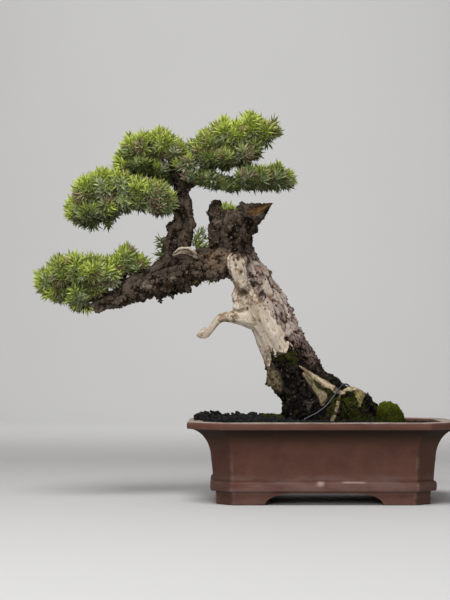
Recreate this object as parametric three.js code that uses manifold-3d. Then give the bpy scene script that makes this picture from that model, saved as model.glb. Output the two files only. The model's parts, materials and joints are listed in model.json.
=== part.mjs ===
// A bonsai: an old, leaning needle conifer in a rectangular stoneware pot with cut corners.
//
// Millimetres, +Z up. Everything is drawn about the middle of the pot's foot, with +X to the right
// and the viewer on the -Y side. The finished group is then moved so that the box round the whole
// plant has the origin at the centre of its bottom.
import * as THREE from "three";
import { mergeVertices } from "three/addons/utils/BufferGeometryUtils.js";
import Module from "manifold-3d";

const wasm = await Module();
wasm.setup();

// ---------------------------------------------------------------- driving dimensions
const POT_HEIGHT = 100;
const BODY_LENGTH = 268; // the pot's body just above its belt, left to right
const BODY_DEPTH = 174; // the same, front to back
const CORNER_CUT = 22; // each body corner is cut off by this much on both sides
const LIP_REACH = 31; // how far the lip stands out from the body
const LIP_THICKNESS = 8.4;
const RIM_TOP = 19; // width of the flat top of the rim
const FOOT_HEIGHT = 16.4;
const FLOOR_TOP = 24;
const BELT_TOP = 28.4;
const SOIL_LEVEL = 94.5; // where the soil meets the pot, a little below the rim
const GAP = 0.35; // clearance between neighbouring pieces
const NEEDLE_LENGTH = 12.5;
const WIRE_RADIUS = 0.95;

// ---------------------------------------------------------------- helpers
// A closed mesh as a solid that can be joined and cut.
function solid(geometry) {
  const bare = geometry.clone();
  bare.deleteAttribute("normal");
  bare.deleteAttribute("uv");
  const merged = mergeVertices(bare, 1e-4);
  return new wasm.Manifold(
    new wasm.Mesh({
      numProp: 3,
      vertProperties: new Float32Array(merged.attributes.position.array),
      triVerts: new Uint32Array(merged.index.array),
    }),
  );
}

function join(solids) {
  return wasm.Manifold.union(solids);
}

// The largest connected body of a solid; loose scraps are dropped.
function mainBody(made) {
  return made.decompose().reduce((a, b) => (a.volume() >= b.volume() ? a : b));
}

function meshOf(name, made, material) {
  const mesh = made.getMesh();
  const geometry = new THREE.BufferGeometry();
  geometry.setAttribute("position", new THREE.BufferAttribute(new Float32Array(mesh.vertProperties), 3));
  geometry.setIndex(new THREE.BufferAttribute(new Uint32Array(mesh.triVerts), 1));
  geometry.computeVertexNormals();
  const result = new THREE.Mesh(geometry, material);
  result.name = name;
  return result;
}

// A repeatable run of draws between 0 and 1.
function drawsFrom(seed) {
  let state = seed;
  return () => {
    state = (state * 1664525 + 1013904223) % 4294967296;
    return state / 4294967296;
  };
}

// Reshapes a unit cylinder. place(angle, row, rim) gives each vertex its point: angle goes round
// the axis, row is 0 at the bottom and 1 at the top, and rim is 0 at the middle of an end.
function bentCylinder(sides, rows, place) {
  const geometry = new THREE.CylinderGeometry(1, 1, 1, sides, rows);
  const position = geometry.attributes.position;
  for (let i = 0; i < position.count; i++) {
    const [x, y, z] = [position.getX(i), position.getY(i), position.getZ(i)];
    const rim = Math.hypot(x, z) > 0.5 ? 1 : 0;
    const side = rim ? Math.round((Math.atan2(x, z) / (2 * Math.PI)) * sides + sides) % sides : 0;
    const row = Math.round((y + 0.5) * rows) / rows;
    position.setXYZ(i, ...place((side / sides) * 2 * Math.PI, row, rim));
  }
  return geometry;
}

// A swept limb: path points are [x, y, z, radius]. steps rows lie between two path points.
// rough is how much the radius wanders, flutes how deep the long hollows are, and grow thickens it.
function limb(path, { sides = 10, steps = 2, rough = 0.05, flutes = 0, seed = 1, grow = 0 } = {}) {
  const centre = new THREE.CatmullRomCurve3(path.map(([x, y, z]) => new THREE.Vector3(x, y, z)));
  const rows = (path.length - 1) * steps;
  const draw = drawsFrom(seed);
  const rings = [];
  let normal = new THREE.Vector3(1, 0, 0);
  for (let row = 0; row <= rows; row++) {
    const t = row / rows;
    const tangent = centre.getTangent(t);
    if (Math.abs(tangent.dot(normal)) > 0.99) normal = new THREE.Vector3(0, 1, 0);
    normal = normal.clone().addScaledVector(tangent, -normal.dot(tangent)).normalize();
    const at = Math.min(Math.floor(row / steps), path.length - 2);
    const share = row / steps - at;
    const radius = path[at][3] * (1 - share) + path[at + 1][3] * share;
    const end = row === 0 ? -grow : row === rows ? grow : 0;
    rings.push({
      centre: centre.getPoint(t).addScaledVector(tangent, end),
      normal,
      side: tangent.clone().cross(normal),
      radii: Array.from({ length: sides }, (_, k) => {
        const angle = (k / sides) * 2 * Math.PI;
        const hollow = Math.cos(3 * angle + row * 0.35) + 0.7 * Math.cos(5 * angle - row * 0.22 + seed);
        return radius * (1 + flutes * hollow + rough * (2 * draw() - 1)) + grow;
      }),
    });
  }
  return bentCylinder(sides, rows, (angle, row, rim) => {
    const ring = rings[Math.round(row * rows)];
    const radius = rim * ring.radii[Math.round((angle / (2 * Math.PI)) * sides) % sides];
    return ring.centre
      .clone()
      .addScaledVector(ring.normal, radius * Math.cos(angle))
      .addScaledVector(ring.side, radius * Math.sin(angle))
      .toArray();
  });
}

// ---------------------------------------------------------------- the pot
// The eight corners of the body's outline, moved out by offset on every side.
function outline(offset) {
  const a = BODY_LENGTH / 2 + offset;
  const b = BODY_DEPTH / 2 + offset;
  const c = CORNER_CUT + offset * (2 - Math.SQRT2);
  return [
    [a, c - b],
    [a, b - c],
    [a - c, b],
    [c - a, b],
    [-a, b - c],
    [-a, c - b],
    [c - a, -b],
    [a - c, -b],
  ];
}

// A stack of outlines: profile rows are [offset, z], from the bottom up.
function stack(profile) {
  return bentCylinder(8, profile.length - 1, (angle, row, rim) => {
    const [offset, z] = profile[Math.round(row * (profile.length - 1))];
    const [x, y] = outline(offset)[Math.round((angle / (2 * Math.PI)) * 8) % 8];
    return [rim * x, rim * y, z];
  });
}

const LIP_UNDERSIDE = POT_HEIGHT - LIP_THICKNESS;
const COVE_FOOT = [2, 55]; // where the straight wall starts to sweep out to the lip

function outerProfile() {
  const belt = [
    [0.8, FOOT_HEIGHT],
    [2.4, FOOT_HEIGHT + 0.9],
    [3.2, 19.5],
    [3.3, 23],
    [3, 26],
    [1.8, BELT_TOP - 0.6],
    [0, BELT_TOP],
  ];
  const [startOffset, startZ] = COVE_FOOT;
  const reach = LIP_REACH - 1.5 - startOffset;
  const rise = LIP_UNDERSIDE - startZ;
  const cove = Array.from({ length: 8 }, (_, i) => {
    const turn = (i / 7) * (Math.PI / 2);
    return [startOffset + reach * (1 - Math.cos(turn)), startZ + rise * Math.sin(turn)];
  });
  const lip = [
    [LIP_REACH, LIP_UNDERSIDE + 0.8],
    [LIP_REACH, POT_HEIGHT - 1],
    [LIP_REACH - 1, POT_HEIGHT],
  ];
  return [...belt, ...cove, ...lip];
}

// The hollow inside, which the soil fills: [offset, z] from the floor to above the rim.
const INNER_EDGE = LIP_REACH - RIM_TOP;
const HOLLOW = [
  [-9.5, FLOOR_TOP],
  [-8.5, 50],
  [-5.5, 70],
  [1.5, 84],
  [INNER_EDGE - 1.5, 92],
  [INNER_EDGE, POT_HEIGHT + 1],
];

// The hollow's profile up to a height, with inset taken off all round and off the bottom.
function hollowProfile(top, inset) {
  const above = HOLLOW.findIndex(([, z]) => z >= top);
  const [[lowOffset, lowZ], [highOffset, highZ]] = [HOLLOW[above - 1], HOLLOW[above]];
  const topOffset = lowOffset + ((highOffset - lowOffset) * (top - lowZ)) / (highZ - lowZ);
  const rows = [...HOLLOW.slice(0, above), [topOffset, top]];
  return rows.map(([offset, z], i) => [offset - inset, i === 0 ? z + inset : z]);
}

// The cut-out between two feet: flat on top, with a quarter of an ellipse down to each foot.
const ARCH_HEIGHT = 14.2;
function arch(halfSpan, curve, through) {
  const flat = halfSpan - curve;
  const shape = new THREE.Shape();
  shape.moveTo(-halfSpan, -2);
  shape.lineTo(-halfSpan, 0);
  shape.absellipse(-flat, 0, curve, ARCH_HEIGHT, Math.PI, Math.PI / 2, true);
  shape.lineTo(flat, ARCH_HEIGHT);
  shape.absellipse(flat, 0, curve, ARCH_HEIGHT, Math.PI / 2, 0, true);
  shape.lineTo(halfSpan, -2);
  const settings = { depth: through, bevelEnabled: false, curveSegments: 5 };
  const geometry = new THREE.ExtrudeGeometry(shape, settings);
  geometry.translate(0, 0, -through / 2);
  geometry.rotateX(Math.PI / 2); // the arch now stands up, and runs front to back
  return geometry;
}

const FRONT_ARCH = { halfSpan: 71.5, curve: 33 };
const SIDE_ARCH = { halfSpan: 38, curve: 20 };
const FOOT_INSET = 3.6;
const FOOT_WALL = 13;
const DRAIN_HOLES = [-66, 66]; // x of the two big holes in the floor
const DRAIN_RADIUS = 13;
const WIRE_HOLES = [
  [-22, -46],
  [60, 38],
  [-60, 38],
  [22, -46],
];
const WIRE_HOLE_RADIUS = 2.6;

function upright(radius, x, y, low, high, sides) {
  const geometry = new THREE.CylinderGeometry(radius, radius, high - low, sides);
  geometry.rotateX(Math.PI / 2);
  geometry.translate(x, y, (low + high) / 2);
  return geometry;
}

function potSolid() {
  const footRing = stack([
    [-FOOT_INSET - 1.6, 0],
    [-FOOT_INSET - 0.5, 2.5],
    [-FOOT_INSET, FOOT_HEIGHT - 1],
    [-FOOT_INSET, FOOT_HEIGHT + 3],
  ]);
  const underside = stack([
    [-FOOT_INSET - FOOT_WALL, -1],
    [-FOOT_INSET - FOOT_WALL, FOOT_HEIGHT],
  ]);
  const sideArch = arch(SIDE_ARCH.halfSpan, SIDE_ARCH.curve, BODY_LENGTH + 20);
  sideArch.rotateZ(Math.PI / 2);
  const feet = solid(footRing)
    .subtract(solid(underside))
    .subtract(solid(arch(FRONT_ARCH.halfSpan, FRONT_ARCH.curve, BODY_DEPTH + 20)))
    .subtract(solid(sideArch));
  const holes = [
    ...DRAIN_HOLES.map((x) => upright(DRAIN_RADIUS, x, 0, 10, 30, 16)),
    ...WIRE_HOLES.map(([x, y]) => upright(WIRE_HOLE_RADIUS, x, y, 10, 30, 8)),
  ];
  return solid(stack(outerProfile()))
    .subtract(solid(stack(hollowProfile(POT_HEIGHT + 1, 0))))
    .add(feet)
    .subtract(join(holes.map(solid)));
}

// A square of drainage mesh, which lies on the floor over a big hole and keeps the soil in.
const SCREEN_SIZE = 42;
const SCREEN_THICKNESS = 1.6;
const SCREEN_CELLS = 4;
const SCREEN_BAR = 2;
function drainScreen(x) {
  const z = FLOOR_TOP + GAP + SCREEN_THICKNESS / 2;
  const pitch = (SCREEN_SIZE - SCREEN_BAR) / SCREEN_CELLS;
  const middle = (k) => (k - (SCREEN_CELLS - 1) / 2) * pitch;
  const plate = new THREE.BoxGeometry(SCREEN_SIZE, SCREEN_SIZE, SCREEN_THICKNESS);
  plate.translate(x, 0, z);
  const cells = [];
  for (let i = 0; i < SCREEN_CELLS; i++)
    for (let j = 0; j < SCREEN_CELLS; j++) {
      const cell = new THREE.BoxGeometry(pitch - SCREEN_BAR, pitch - SCREEN_BAR, 3 * SCREEN_THICKNESS);
      cell.translate(x + middle(i), middle(j), z);
      cells.push(solid(cell));
    }
  return solid(plate).subtract(join(cells));
}

// ---------------------------------------------------------------- the tree
// Each limb is a list of [x, y, z, radius], followed by how its surface is made.
const TRUNK = [
  [2, 2, 62, 34],
  [0, 1, 80, 40],
  [-4, 0, 98, 40],
  [-14, 0, 125, 37],
  [-24, 0, 146, 34.5],
  [-33, 0, 167, 32],
  [-44, 0, 187, 31.2],
  [-54, 0, 206, 29.5],
  [-62, 0, 225, 27.5],
  [-71, 0, 244, 27],
  [-79, 0, 260, 26],
  [-86, 0, 276, 24.5],
  [-94, 0, 293, 23.5],
  [-103, 0, 310, 24.5],
  [-109, 0, 325, 25.5],
  [-110, 0, 340, 27],
  [-111, 0, 353, 23],
  [-112, 0, 364, 14],
];
const STUMP_KNOB = [
  [-117, -2, 328, 19],
  [-126, -3, 344, 13.5],
  [-131, -3, 357, 10],
  [-131, -3, 368, 8],
  [-130, -3, 376, 4],
];
const STUMP_PRONG = [
  [-109, 0, 334, 23],
  [-98, 1, 348, 21],
  [-86, 1, 357, 16],
  [-74, 0, 363.5, 10.5],
  [-66, -1, 368, 6],
  [-59, -2, 372, 1],
];
const BOUGH = [
  [-92, 0, 294, 20],
  [-120, -2, 296, 20],
  [-144, -3, 296, 20],
  [-163, -4, 292, 21.5],
  [-180, -5, 287, 24],
  [-198, -6, 279, 20.5],
  [-213, -6, 272.5, 17.5],
  [-228, -6, 265, 16.2],
  [-243, -5, 257, 14.6],
  [-258, -4, 250.5, 12],
  [-273, -2, 250, 8.5],
  [-287, 0, 256, 5],
];
const RISER = [
  [-183, 2, 297, 20],
  [-180, 2, 318, 18.4],
  [-174, 1, 338, 15.4],
  [-171, 0, 354, 12.8],
  [-172, 0, 368, 12.2],
  [-174, 0, 380, 10],
  [-176, 0, 393, 9],
  [-180, 0, 409, 8],
  [-186, 0, 424, 5.6],
  [-193, 1, 438, 3.4],
];
const DEAD_STUB = [
  [-84, -4, 226, 15],
  [-102, -8, 228, 9.8],
  [-113, -11, 229, 7.3],
  [-124, -13, 228, 6.3],
  [-130, -14, 222.5, 5],
  [-136, -15, 214, 4.4],
  [-142, -15, 206.5, 4.8],
  [-151, -15, 203.5, 2.4],
];
const BARE_STREAK = [
  [-101, -20, 316, 4],
  [-106, -20, 303, 9],
  [-104, -19, 289, 11],
  [-101, -20, 276, 9],
  [-96, -22, 264, 5],
];
const BARE_CREST = [
  [-182, -25, 307, 2],
  [-175, -26, 313, 3],
  [-165, -26, 313, 3.4],
  [-156, -24, 307, 3],
  [-151, -20, 299, 2],
];
const LOBE = [
  [-62, -6, 178, 7],
  [-58, -10, 162, 10],
  [-54, -11, 146, 11],
  [-47, -9, 134, 7],
];
const ROOTS = [
  [
    [-34, -8, 176, 15],
    [-10, -14, 153, 16],
    [10, -14, 140, 16],
    [31, -9, 130, 14],
    [47, -5, 126, 12.5],
    [64, -2, 113, 10.5],
    [77, 0, 98, 9],
    [88, 0, 82, 7],
  ],
  [
    [0, -16, 140, 15],
    [13, -27, 121, 13],
    [15, -35, 103, 11.5],
    [12, -41, 84, 8],
  ],
  [
    [36, -12, 124, 14],
    [43, -23, 111, 12],
    [45, -30, 97, 10.5],
    [45, -36, 80, 7],
  ],
  [
    [-28, -12, 138, 18],
    [-34, -22, 118, 15],
    [-41, -30, 101, 12],
    [-50, -36, 82, 8],
  ],
  [
    [-24, 16, 140, 17],
    [-32, 34, 118, 13],
    [-43, 47, 99, 10],
    [-54, 56, 80, 7],
  ],
  [
    [12, 14, 138, 16],
    [24, 34, 117, 12],
    [30, 50, 99, 10],
    [36, 62, 80, 7],
  ],
];
// The branches that carry the foliage. Each ends inside the core of a pad.
const BRANCHES = [
  [
    [-173, 0, 370, 8],
    [-188, -6, 376, 6],
    [-203, -12, 381, 4.4],
    [-214, -16, 384, 3],
  ],
  [
    [-176, 0, 397, 7.5],
    [-168, 0, 410, 6],
    [-160, -2, 423, 4.6],
    [-155, -4, 433, 3],
  ],
  [
    [-174, -1, 386, 7],
    [-165, -4, 393, 5.4],
    [-155, -9, 398, 3.8],
    [-146, -13, 401, 2.4],
  ],
  [
    [-240, -4, 258, 8],
    [-247, -1, 272, 5],
    [-246, 2, 284, 4],
    [-243, 4, 296, 2.6],
  ],
];

function treeSolid(grow) {
  const parts = [
    limb(TRUNK, { sides: 15, rough: 0.05, flutes: 0.035, seed: 11, grow }),
    limb(STUMP_KNOB, { sides: 9, steps: 1, rough: 0.12, seed: 12, grow }),
    limb(STUMP_PRONG, { sides: 10, steps: 1, rough: 0.1, seed: 13, grow }),
    limb(BOUGH, { sides: 11, rough: 0.09, flutes: 0.03, seed: 14, grow }),
    limb(RISER, { sides: 9, steps: 1, rough: 0.07, flutes: 0.02, seed: 15, grow }),
    limb(DEAD_STUB, { sides: 7, steps: 1, rough: 0.06, seed: 16, grow }),
    limb(BARE_STREAK, { sides: 8, steps: 1, rough: 0.08, seed: 17, grow }),
    limb(BARE_CREST, { sides: 6, steps: 1, rough: 0.05, seed: 18, grow }),
    limb(LOBE, { sides: 8, steps: 1, rough: 0.06, seed: 19, grow }),
    ...ROOTS.map((path, i) => limb(path, { sides: 8, steps: 1, rough: 0.1, seed: 30 + i, grow })),
    ...BRANCHES.map((path, i) => limb(path, { sides: 6, steps: 1, rough: 0.08, seed: 50 + i, grow })),
  ];
  return join(parts.map(solid));
}

// ---------------------------------------------------------------- the tie-down wire
// Its middle lies under the pot's floor. One half comes up through the front hole and crosses the
// big right root, the other comes up through the back hole, and they meet behind the root.
const UNDER_FLOOR = FOOT_HEIGHT - GAP - 2 * WIRE_RADIUS;
const TIE_WIRE = [
  [51.5, 16.5, 119.5],
  [48, 12, 126],
  [43, 6, 133.5],
  [36, -3, 142.6],
  [30, -13, 144.8],
  [23, -23, 140.5],
  [16, -28.5, 131],
  [6, -34, 119],
  [-6, -40, 110],
  [-18, -44, 104],
  [-22, -45.5, 98],
  [-22, -46, 60],
  [-22, -46, 24],
  [-22, -46, UNDER_FLOOR + 3],
  [-21, -45, UNDER_FLOOR + 0.3],
  [-12, -35.8, UNDER_FLOOR],
  [50, 27.8, UNDER_FLOOR],
  [59, 37.2, UNDER_FLOOR + 0.3],
  [60, 38, UNDER_FLOOR + 3],
  [60, 38, 24],
  [60, 38, 60],
  [60, 36, 98],
  [57, 30, 109],
  [50, 20, 124],
];
function tieWire(grow) {
  const path = TIE_WIRE.map((point) => [...point, WIRE_RADIUS]);
  return solid(limb(path, { sides: 6, steps: 1, rough: 0, seed: 5, grow }));
}

// ---------------------------------------------------------------- the foliage
// A pad is a group of mounds, [x, y, z, half length, half depth, half height] to the needle tips.
const PADS = {
  pad_lower: [
    [-338, 0, 275, 23, 26, 24],
    [-311, -16, 270, 30, 28, 35],
    [-305, 22, 274, 28, 26, 30],
    [-278, 4, 270, 30, 36, 37],
    [-244, 5, 296, 28, 30, 27],
  ],
  pad_left: [
    [-305, -4, 369, 21, 25, 24],
    [-284, -18, 376, 30, 28, 41],
    [-281, 20, 380, 28, 27, 34],
    [-252, 2, 386, 31, 38, 33],
    [-215, -14, 383, 30, 30, 24],
  ],
  crown_left: [
    [-241, -4, 427, 17, 22, 20],
    [-225, -16, 436, 27, 27, 27],
    [-222, 22, 438, 25, 25, 25],
    [-191, 2, 438, 27, 36, 29],
  ],
  crown_right: [
    [-156, -4, 436, 24, 30, 24],
    [-133, -16, 445, 30, 28, 30],
    [-126, 22, 448, 28, 26, 30],
    [-96, 0, 455, 33, 38, 37],
    [-69, 4, 460, 22, 28, 24],
  ],
  pad_right: [
    [-143, -10, 405, 24, 26, 19],
    [-112, -14, 404, 30, 28, 19],
    [-108, 22, 406, 28, 26, 19],
    [-74, 0, 405, 30, 34, 21],
    [-48, 2, 407, 20, 24, 20],
  ],
};
const CORE_DEPTH = 11; // how far a mound's woody, shaded core lies below its needle tips
const LEAST_CORE = 4;
const CORE_SWELL = 1.08; // the core's corners stand out by this, so that its faces keep its size
const TWIG_RADIUS = 3.4; // of the twigs that link the cores of a pad
const BUD_RADIUS = 2.1;
const BUD_DEPTH = 0.93; // how far out on the core a bud sits
const TUFT_SPACING = 24; // least distance between neighbouring stars of needles
const TUFT_CANDIDATES = 34; // places that are tried on each core
const BURIED = 0.8; // a star this deep in another mound of its pad is left out
const CLEAR = 1.12; // needles keep this far out of the mounds of other pads
const NEEDLE_FACING = 0.1; // bud faces that look less far outwards than this bear no needle
const NEEDLE_LEAN = 0.25; // how much the needles lean along their shoot
const GOLDEN_TURN = Math.PI * (3 - Math.sqrt(5));

// How far a point is from a mound's middle, where 1 is at the mound's surface.
function depthIn([cx, cy, cz, rx, ry, rz], point) {
  return Math.hypot((point.x - cx) / rx, (point.y - cy) / ry, (point.z - cz) / rz);
}

// A star of needles on the tip of a shoot. The bud has twenty faces, and each one that looks
// outwards is drawn out to a three-sided needle.
function tuft(centre, direction, draw, fits) {
  const bud = new THREE.IcosahedronGeometry(BUD_RADIUS, 0);
  bud.rotateX(6 * draw());
  bud.rotateZ(6 * draw());
  const corners = bud.attributes.position;
  const triangles = [];
  for (let i = 0; i < corners.count; i += 3) {
    const [a, b, c] = [0, 1, 2].map((k) => new THREE.Vector3().fromBufferAttribute(corners, i + k));
    const facing = a.clone().add(b).add(c).normalize();
    const length = BUD_RADIUS + NEEDLE_LENGTH * (0.82 + 0.3 * draw());
    const tip = facing.clone().addScaledVector(direction, NEEDLE_LEAN).setLength(length);
    const grows = facing.dot(direction) > NEEDLE_FACING && fits(tip.clone().add(centre));
    triangles.push(...(grows ? [a, b, tip, b, c, tip, c, a, tip] : [a, b, c]));
  }
  const star = new THREE.BufferGeometry().setFromPoints(triangles);
  star.translate(centre.x, centre.y, centre.z);
  return solid(star);
}

function stem(root, tip, radius) {
  const along = tip.clone().sub(root);
  const geometry = new THREE.CylinderGeometry(radius * 0.6, radius, along.length(), 4);
  geometry.translate(0, along.length() / 2, 0);
  geometry.applyQuaternion(
    new THREE.Quaternion().setFromUnitVectors(new THREE.Vector3(0, 1, 0), along.normalize()),
  );
  geometry.translate(root.x, root.y, root.z);
  return solid(geometry);
}

// One pad: a core in each mound, twigs that link the cores, and stars of needles spread evenly over
// the cores, except where they would be buried in another mound.
function padSolid(name, seed) {
  const mounds = PADS[name];
  const others = Object.entries(PADS).flatMap(([key, list]) => (key === name ? [] : list));
  const clear = (point) => others.every((mound) => depthIn(mound, point) > CLEAR);
  const draw = drawsFrom(seed);
  const made = [];
  const middles = [];
  mounds.forEach((mound, at) => {
    const centre = new THREE.Vector3(...mound.slice(0, 3));
    const halves = mound.slice(3).map((half) => Math.max(LEAST_CORE, half - CORE_DEPTH));
    const size = new THREE.Vector3(...halves);
    const core = new THREE.IcosahedronGeometry(CORE_SWELL, 0);
    core.rotateX(6 * draw());
    core.rotateZ(6 * draw());
    core.scale(size.x, size.y, size.z);
    core.translate(centre.x, centre.y, centre.z);
    made.push(solid(core));
    if (at > 0) made.push(stem(new THREE.Vector3(...mounds[at - 1].slice(0, 3)), centre, TWIG_RADIUS));
    for (let i = 0; i < TUFT_CANDIDATES; i++) {
      const up = 1 - (2 * (i + 0.5)) / TUFT_CANDIDATES;
      const flat = Math.sqrt(1 - up * up);
      const turn = i * GOLDEN_TURN + seed + at;
      const onCore = new THREE.Vector3(flat * Math.cos(turn), flat * Math.sin(turn), up).multiply(size);
      const direction = onCore.clone().divide(size).divide(size).normalize();
      const bud = centre.clone().addScaledVector(onCore, BUD_DEPTH);
      const middle = bud.clone().addScaledVector(direction, CORE_DEPTH / 2);
      const buried = mounds.some((other) => other !== mound && depthIn(other, middle) < BURIED);
      const crowded = middles.some((one) => one.distanceTo(middle) < TUFT_SPACING);
      if (buried || crowded || !clear(middle)) continue;
      middles.push(middle);
      made.push(tuft(bud, direction, draw, clear));
    }
  });
  return join(made);
}

// Small sprays that grow straight from the old wood: [root, tip] pairs.
const SPRAYS = {
  spray_fork_left: [
    [
      [-190, 0, 316],
      [-203, -3, 322],
    ],
    [
      [-190, 2, 318],
      [-199, 2, 333],
    ],
  ],
  spray_fork_right: [
    [
      [-157, 4, 314],
      [-154, 5, 326],
    ],
    [
      [-157, 3, 316],
      [-150, 5, 338],
    ],
  ],
  spray_stump: [
    [
      [-118, -4, 350],
      [-118, -5, 368],
    ],
    [
      [-112, -3, 350],
      [-110, -4, 364],
    ],
  ],
  spray_under_bough: [
    [
      [-135, -4, 284],
      [-140, -5, 276],
    ],
    [
      [-130, -3, 284],
      [-123, -4, 276],
    ],
  ],
};
function spraySolid(name, seed) {
  const draw = drawsFrom(seed);
  const shoots = SPRAYS[name].flatMap(([from, to]) => {
    const [root, tip] = [new THREE.Vector3(...from), new THREE.Vector3(...to)];
    const direction = tip.clone().sub(root).normalize();
    return [stem(root, tip, 2), tuft(tip, direction, draw, () => true)];
  });
  return join(shoots);
}

// ---------------------------------------------------------------- moss and soil
// A cushion of moss, domed and bumpy: [x, y, base z, half length, half depth, height].
const MOSS = {
  moss_cushion: [86, -8, 96, 21, 19, 27],
  moss_patch: [-62, -26, 98, 19, 16, 11],
};
function mossSolid([x, y, z, halfLength, halfDepth, height], grow) {
  const geometry = new THREE.SphereGeometry(1, 13, 8);
  geometry.rotateX(Math.PI / 2);
  const position = geometry.attributes.position;
  for (let i = 0; i < position.count; i++) {
    const [a, b, c] = [position.getX(i), position.getY(i), position.getZ(i)];
    const bump = 1 + 0.05 * Math.sin(6 * a + 4 * c) * Math.cos(7 * b);
    const up = c > 0 ? c * height : c * 5;
    position.setXYZ(
      i,
      x + a * bump * (halfLength + grow),
      y + b * bump * (halfDepth + grow),
      z + up * bump + grow * Math.sign(c),
    );
  }
  return solid(geometry);
}

// The lie of the soil: raised round the trunk, and higher at the left end.
function soilHeight(x, y) {
  const heap = 8 * Math.exp(-(((x - 5) / 80) ** 2) - (y / 62) ** 2);
  const left = 6.5 / (1 + Math.exp((x + 52) / 14));
  return SOIL_LEVEL + heap + left + 0.7 * Math.sin(x / 9) * Math.cos(y / 8);
}

// How far an outline reaches from the middle in a direction.
function outlineReach(angle, offset) {
  const corners = outline(offset);
  const [dx, dy] = [Math.cos(angle), Math.sin(angle)];
  return Math.min(
    ...corners.map(([ax, ay], i) => {
      const [bx, by] = corners[(i + 1) % corners.length];
      const [nx, ny] = [by - ay, ax - bx];
      const facing = nx * dx + ny * dy;
      return facing > 1e-9 ? (nx * ax + ny * ay) / facing : Infinity;
    }),
  );
}

// The top of the soil, as rings from the pot's wall inwards round a centre.
const SOIL_EDGE = INNER_EDGE - 1.7; // offset of the crust's edge, just inside the pot's hollow
const SOIL_UNDERSIDE = SOIL_LEVEL - 1.5;
function soilCrust() {
  const rings = 6;
  return bentCylinder(24, rings, (angle, row, rim) => {
    const ring = Math.round(row * rings);
    const share = rim * (ring < 2 ? 1 : 1 - (ring - 1) / rings);
    const reach = share * outlineReach(angle, SOIL_EDGE);
    const [x, y] = [reach * Math.cos(angle), reach * Math.sin(angle)];
    return [x, y, ring === 0 ? SOIL_UNDERSIDE : soilHeight(x, y)];
  });
}

// Grains and lumps of grit that lie on the soil, most of them at its left end.
const LUMPS_AT_LEFT = 15;
const LUMPS_ELSEWHERE = 15;
const LUMP_SPACING = 26; // least distance between the lumps that lie elsewhere
const between = (low, high, share) => low + (high - low) * share;
function soilLumps() {
  const draw = drawsFrom(77);
  const lumps = [];
  const elsewhere = [];
  while (lumps.length < LUMPS_AT_LEFT + LUMPS_ELSEWHERE) {
    const left = lumps.length < LUMPS_AT_LEFT;
    const x = left ? between(-136, -44, draw()) : between(-110, 138, draw());
    const y = between(-86, 86, draw());
    const size = left ? between(3.4, 7, draw()) : between(3, 4.6, draw());
    if (Math.hypot(x, y) > outlineReach(Math.atan2(y, x), SOIL_EDGE - 1 - size)) continue;
    if (!left && elsewhere.some(([ax, ay]) => Math.hypot(x - ax, y - ay) < LUMP_SPACING)) continue;
    if (!left) elsewhere.push([x, y]);
    const lump = new THREE.IcosahedronGeometry(size, 0);
    lump.rotateX(6 * draw());
    lump.rotateZ(6 * draw());
    lump.scale(1.15, 0.95, 0.85);
    lump.translate(x, y, soilHeight(x, y) + size * 0.25);
    lumps.push(solid(lump));
  }
  return lumps;
}

function soilSolid(cutters) {
  const fill = solid(stack(hollowProfile(SOIL_LEVEL - 1, GAP)));
  const pockets = DRAIN_HOLES.map((x) => {
    const side = SCREEN_SIZE + 2 * GAP;
    const box = new THREE.BoxGeometry(side, side, SCREEN_THICKNESS + 2 * GAP);
    box.translate(x, 0, FLOOR_TOP + SCREEN_THICKNESS / 2 + GAP);
    return solid(box);
  });
  const whole = join([fill, solid(soilCrust()), ...soilLumps()]);
  return mainBody(whole.subtract(join([...pockets, ...cutters])));
}

// ---------------------------------------------------------------- materials
const material = (color, roughness, metalness = 0) =>
  new THREE.MeshStandardMaterial({ color, roughness, metalness });
const STONEWARE = material(0x6a4a42, 0.75);
const BARK = material(0x4a4038, 0.9);
const NEEDLES = material(0x5d8238, 0.6);
const SOIL = material(0x232325, 0.95);
const MOSS_GREEN = material(0x4f7015, 0.95);
const WIRE = material(0x55565c, 0.45, 0.8);
const SCREEN = material(0x1c1d1f, 0.6);

// ---------------------------------------------------------------- the assembly
const grownTree = treeSolid(GAP);
const grownWire = tieWire(GAP);
const grownMoss = Object.values(MOSS).map((cushion) => mossSolid(cushion, GAP));

const plant = new THREE.Group();
plant.add(meshOf("pot", potSolid(), STONEWARE));
DRAIN_HOLES.forEach((x, i) => plant.add(meshOf(`drain_screen_${i + 1}`, drainScreen(x), SCREEN)));
plant.add(meshOf("soil", soilSolid([grownTree, grownWire, ...grownMoss]), SOIL));
plant.add(meshOf("tree", mainBody(treeSolid(0).subtract(grownWire)), BARK));
plant.add(meshOf("tie_wire", tieWire(0), WIRE));
for (const [name, cushion] of Object.entries(MOSS)) {
  const made = mossSolid(cushion, 0).subtract(grownTree).subtract(grownWire);
  plant.add(meshOf(name, mainBody(made), MOSS_GREEN));
}
Object.keys(PADS).forEach((name, i) =>
  plant.add(meshOf(name, mainBody(padSolid(name, 101 + i).subtract(grownTree)), NEEDLES)),
);
Object.keys(SPRAYS).forEach((name, i) =>
  plant.add(meshOf(name, mainBody(spraySolid(name, 201 + i).subtract(grownTree)), NEEDLES)),
);

// The origin goes to the centre of the bottom of the box round the whole plant.
const box = new THREE.Box3().setFromObject(plant);
plant.position.set(-(box.min.x + box.max.x) / 2, -(box.min.y + box.max.y) / 2, -box.min.z);

const bonsai = new THREE.Group();
bonsai.add(plant);
export default bonsai;
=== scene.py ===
# Looks of an old leaning bonsai in a stoneware pot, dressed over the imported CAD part.
# Lists of places are in millimetres about the middle of the pot's foot; meshes are in metres.
import json
import math
import random

import bmesh
import bpy
import numpy as np
from mathutils import Matrix, Vector, noise
from mathutils.bvhtree import BVHTree

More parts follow.
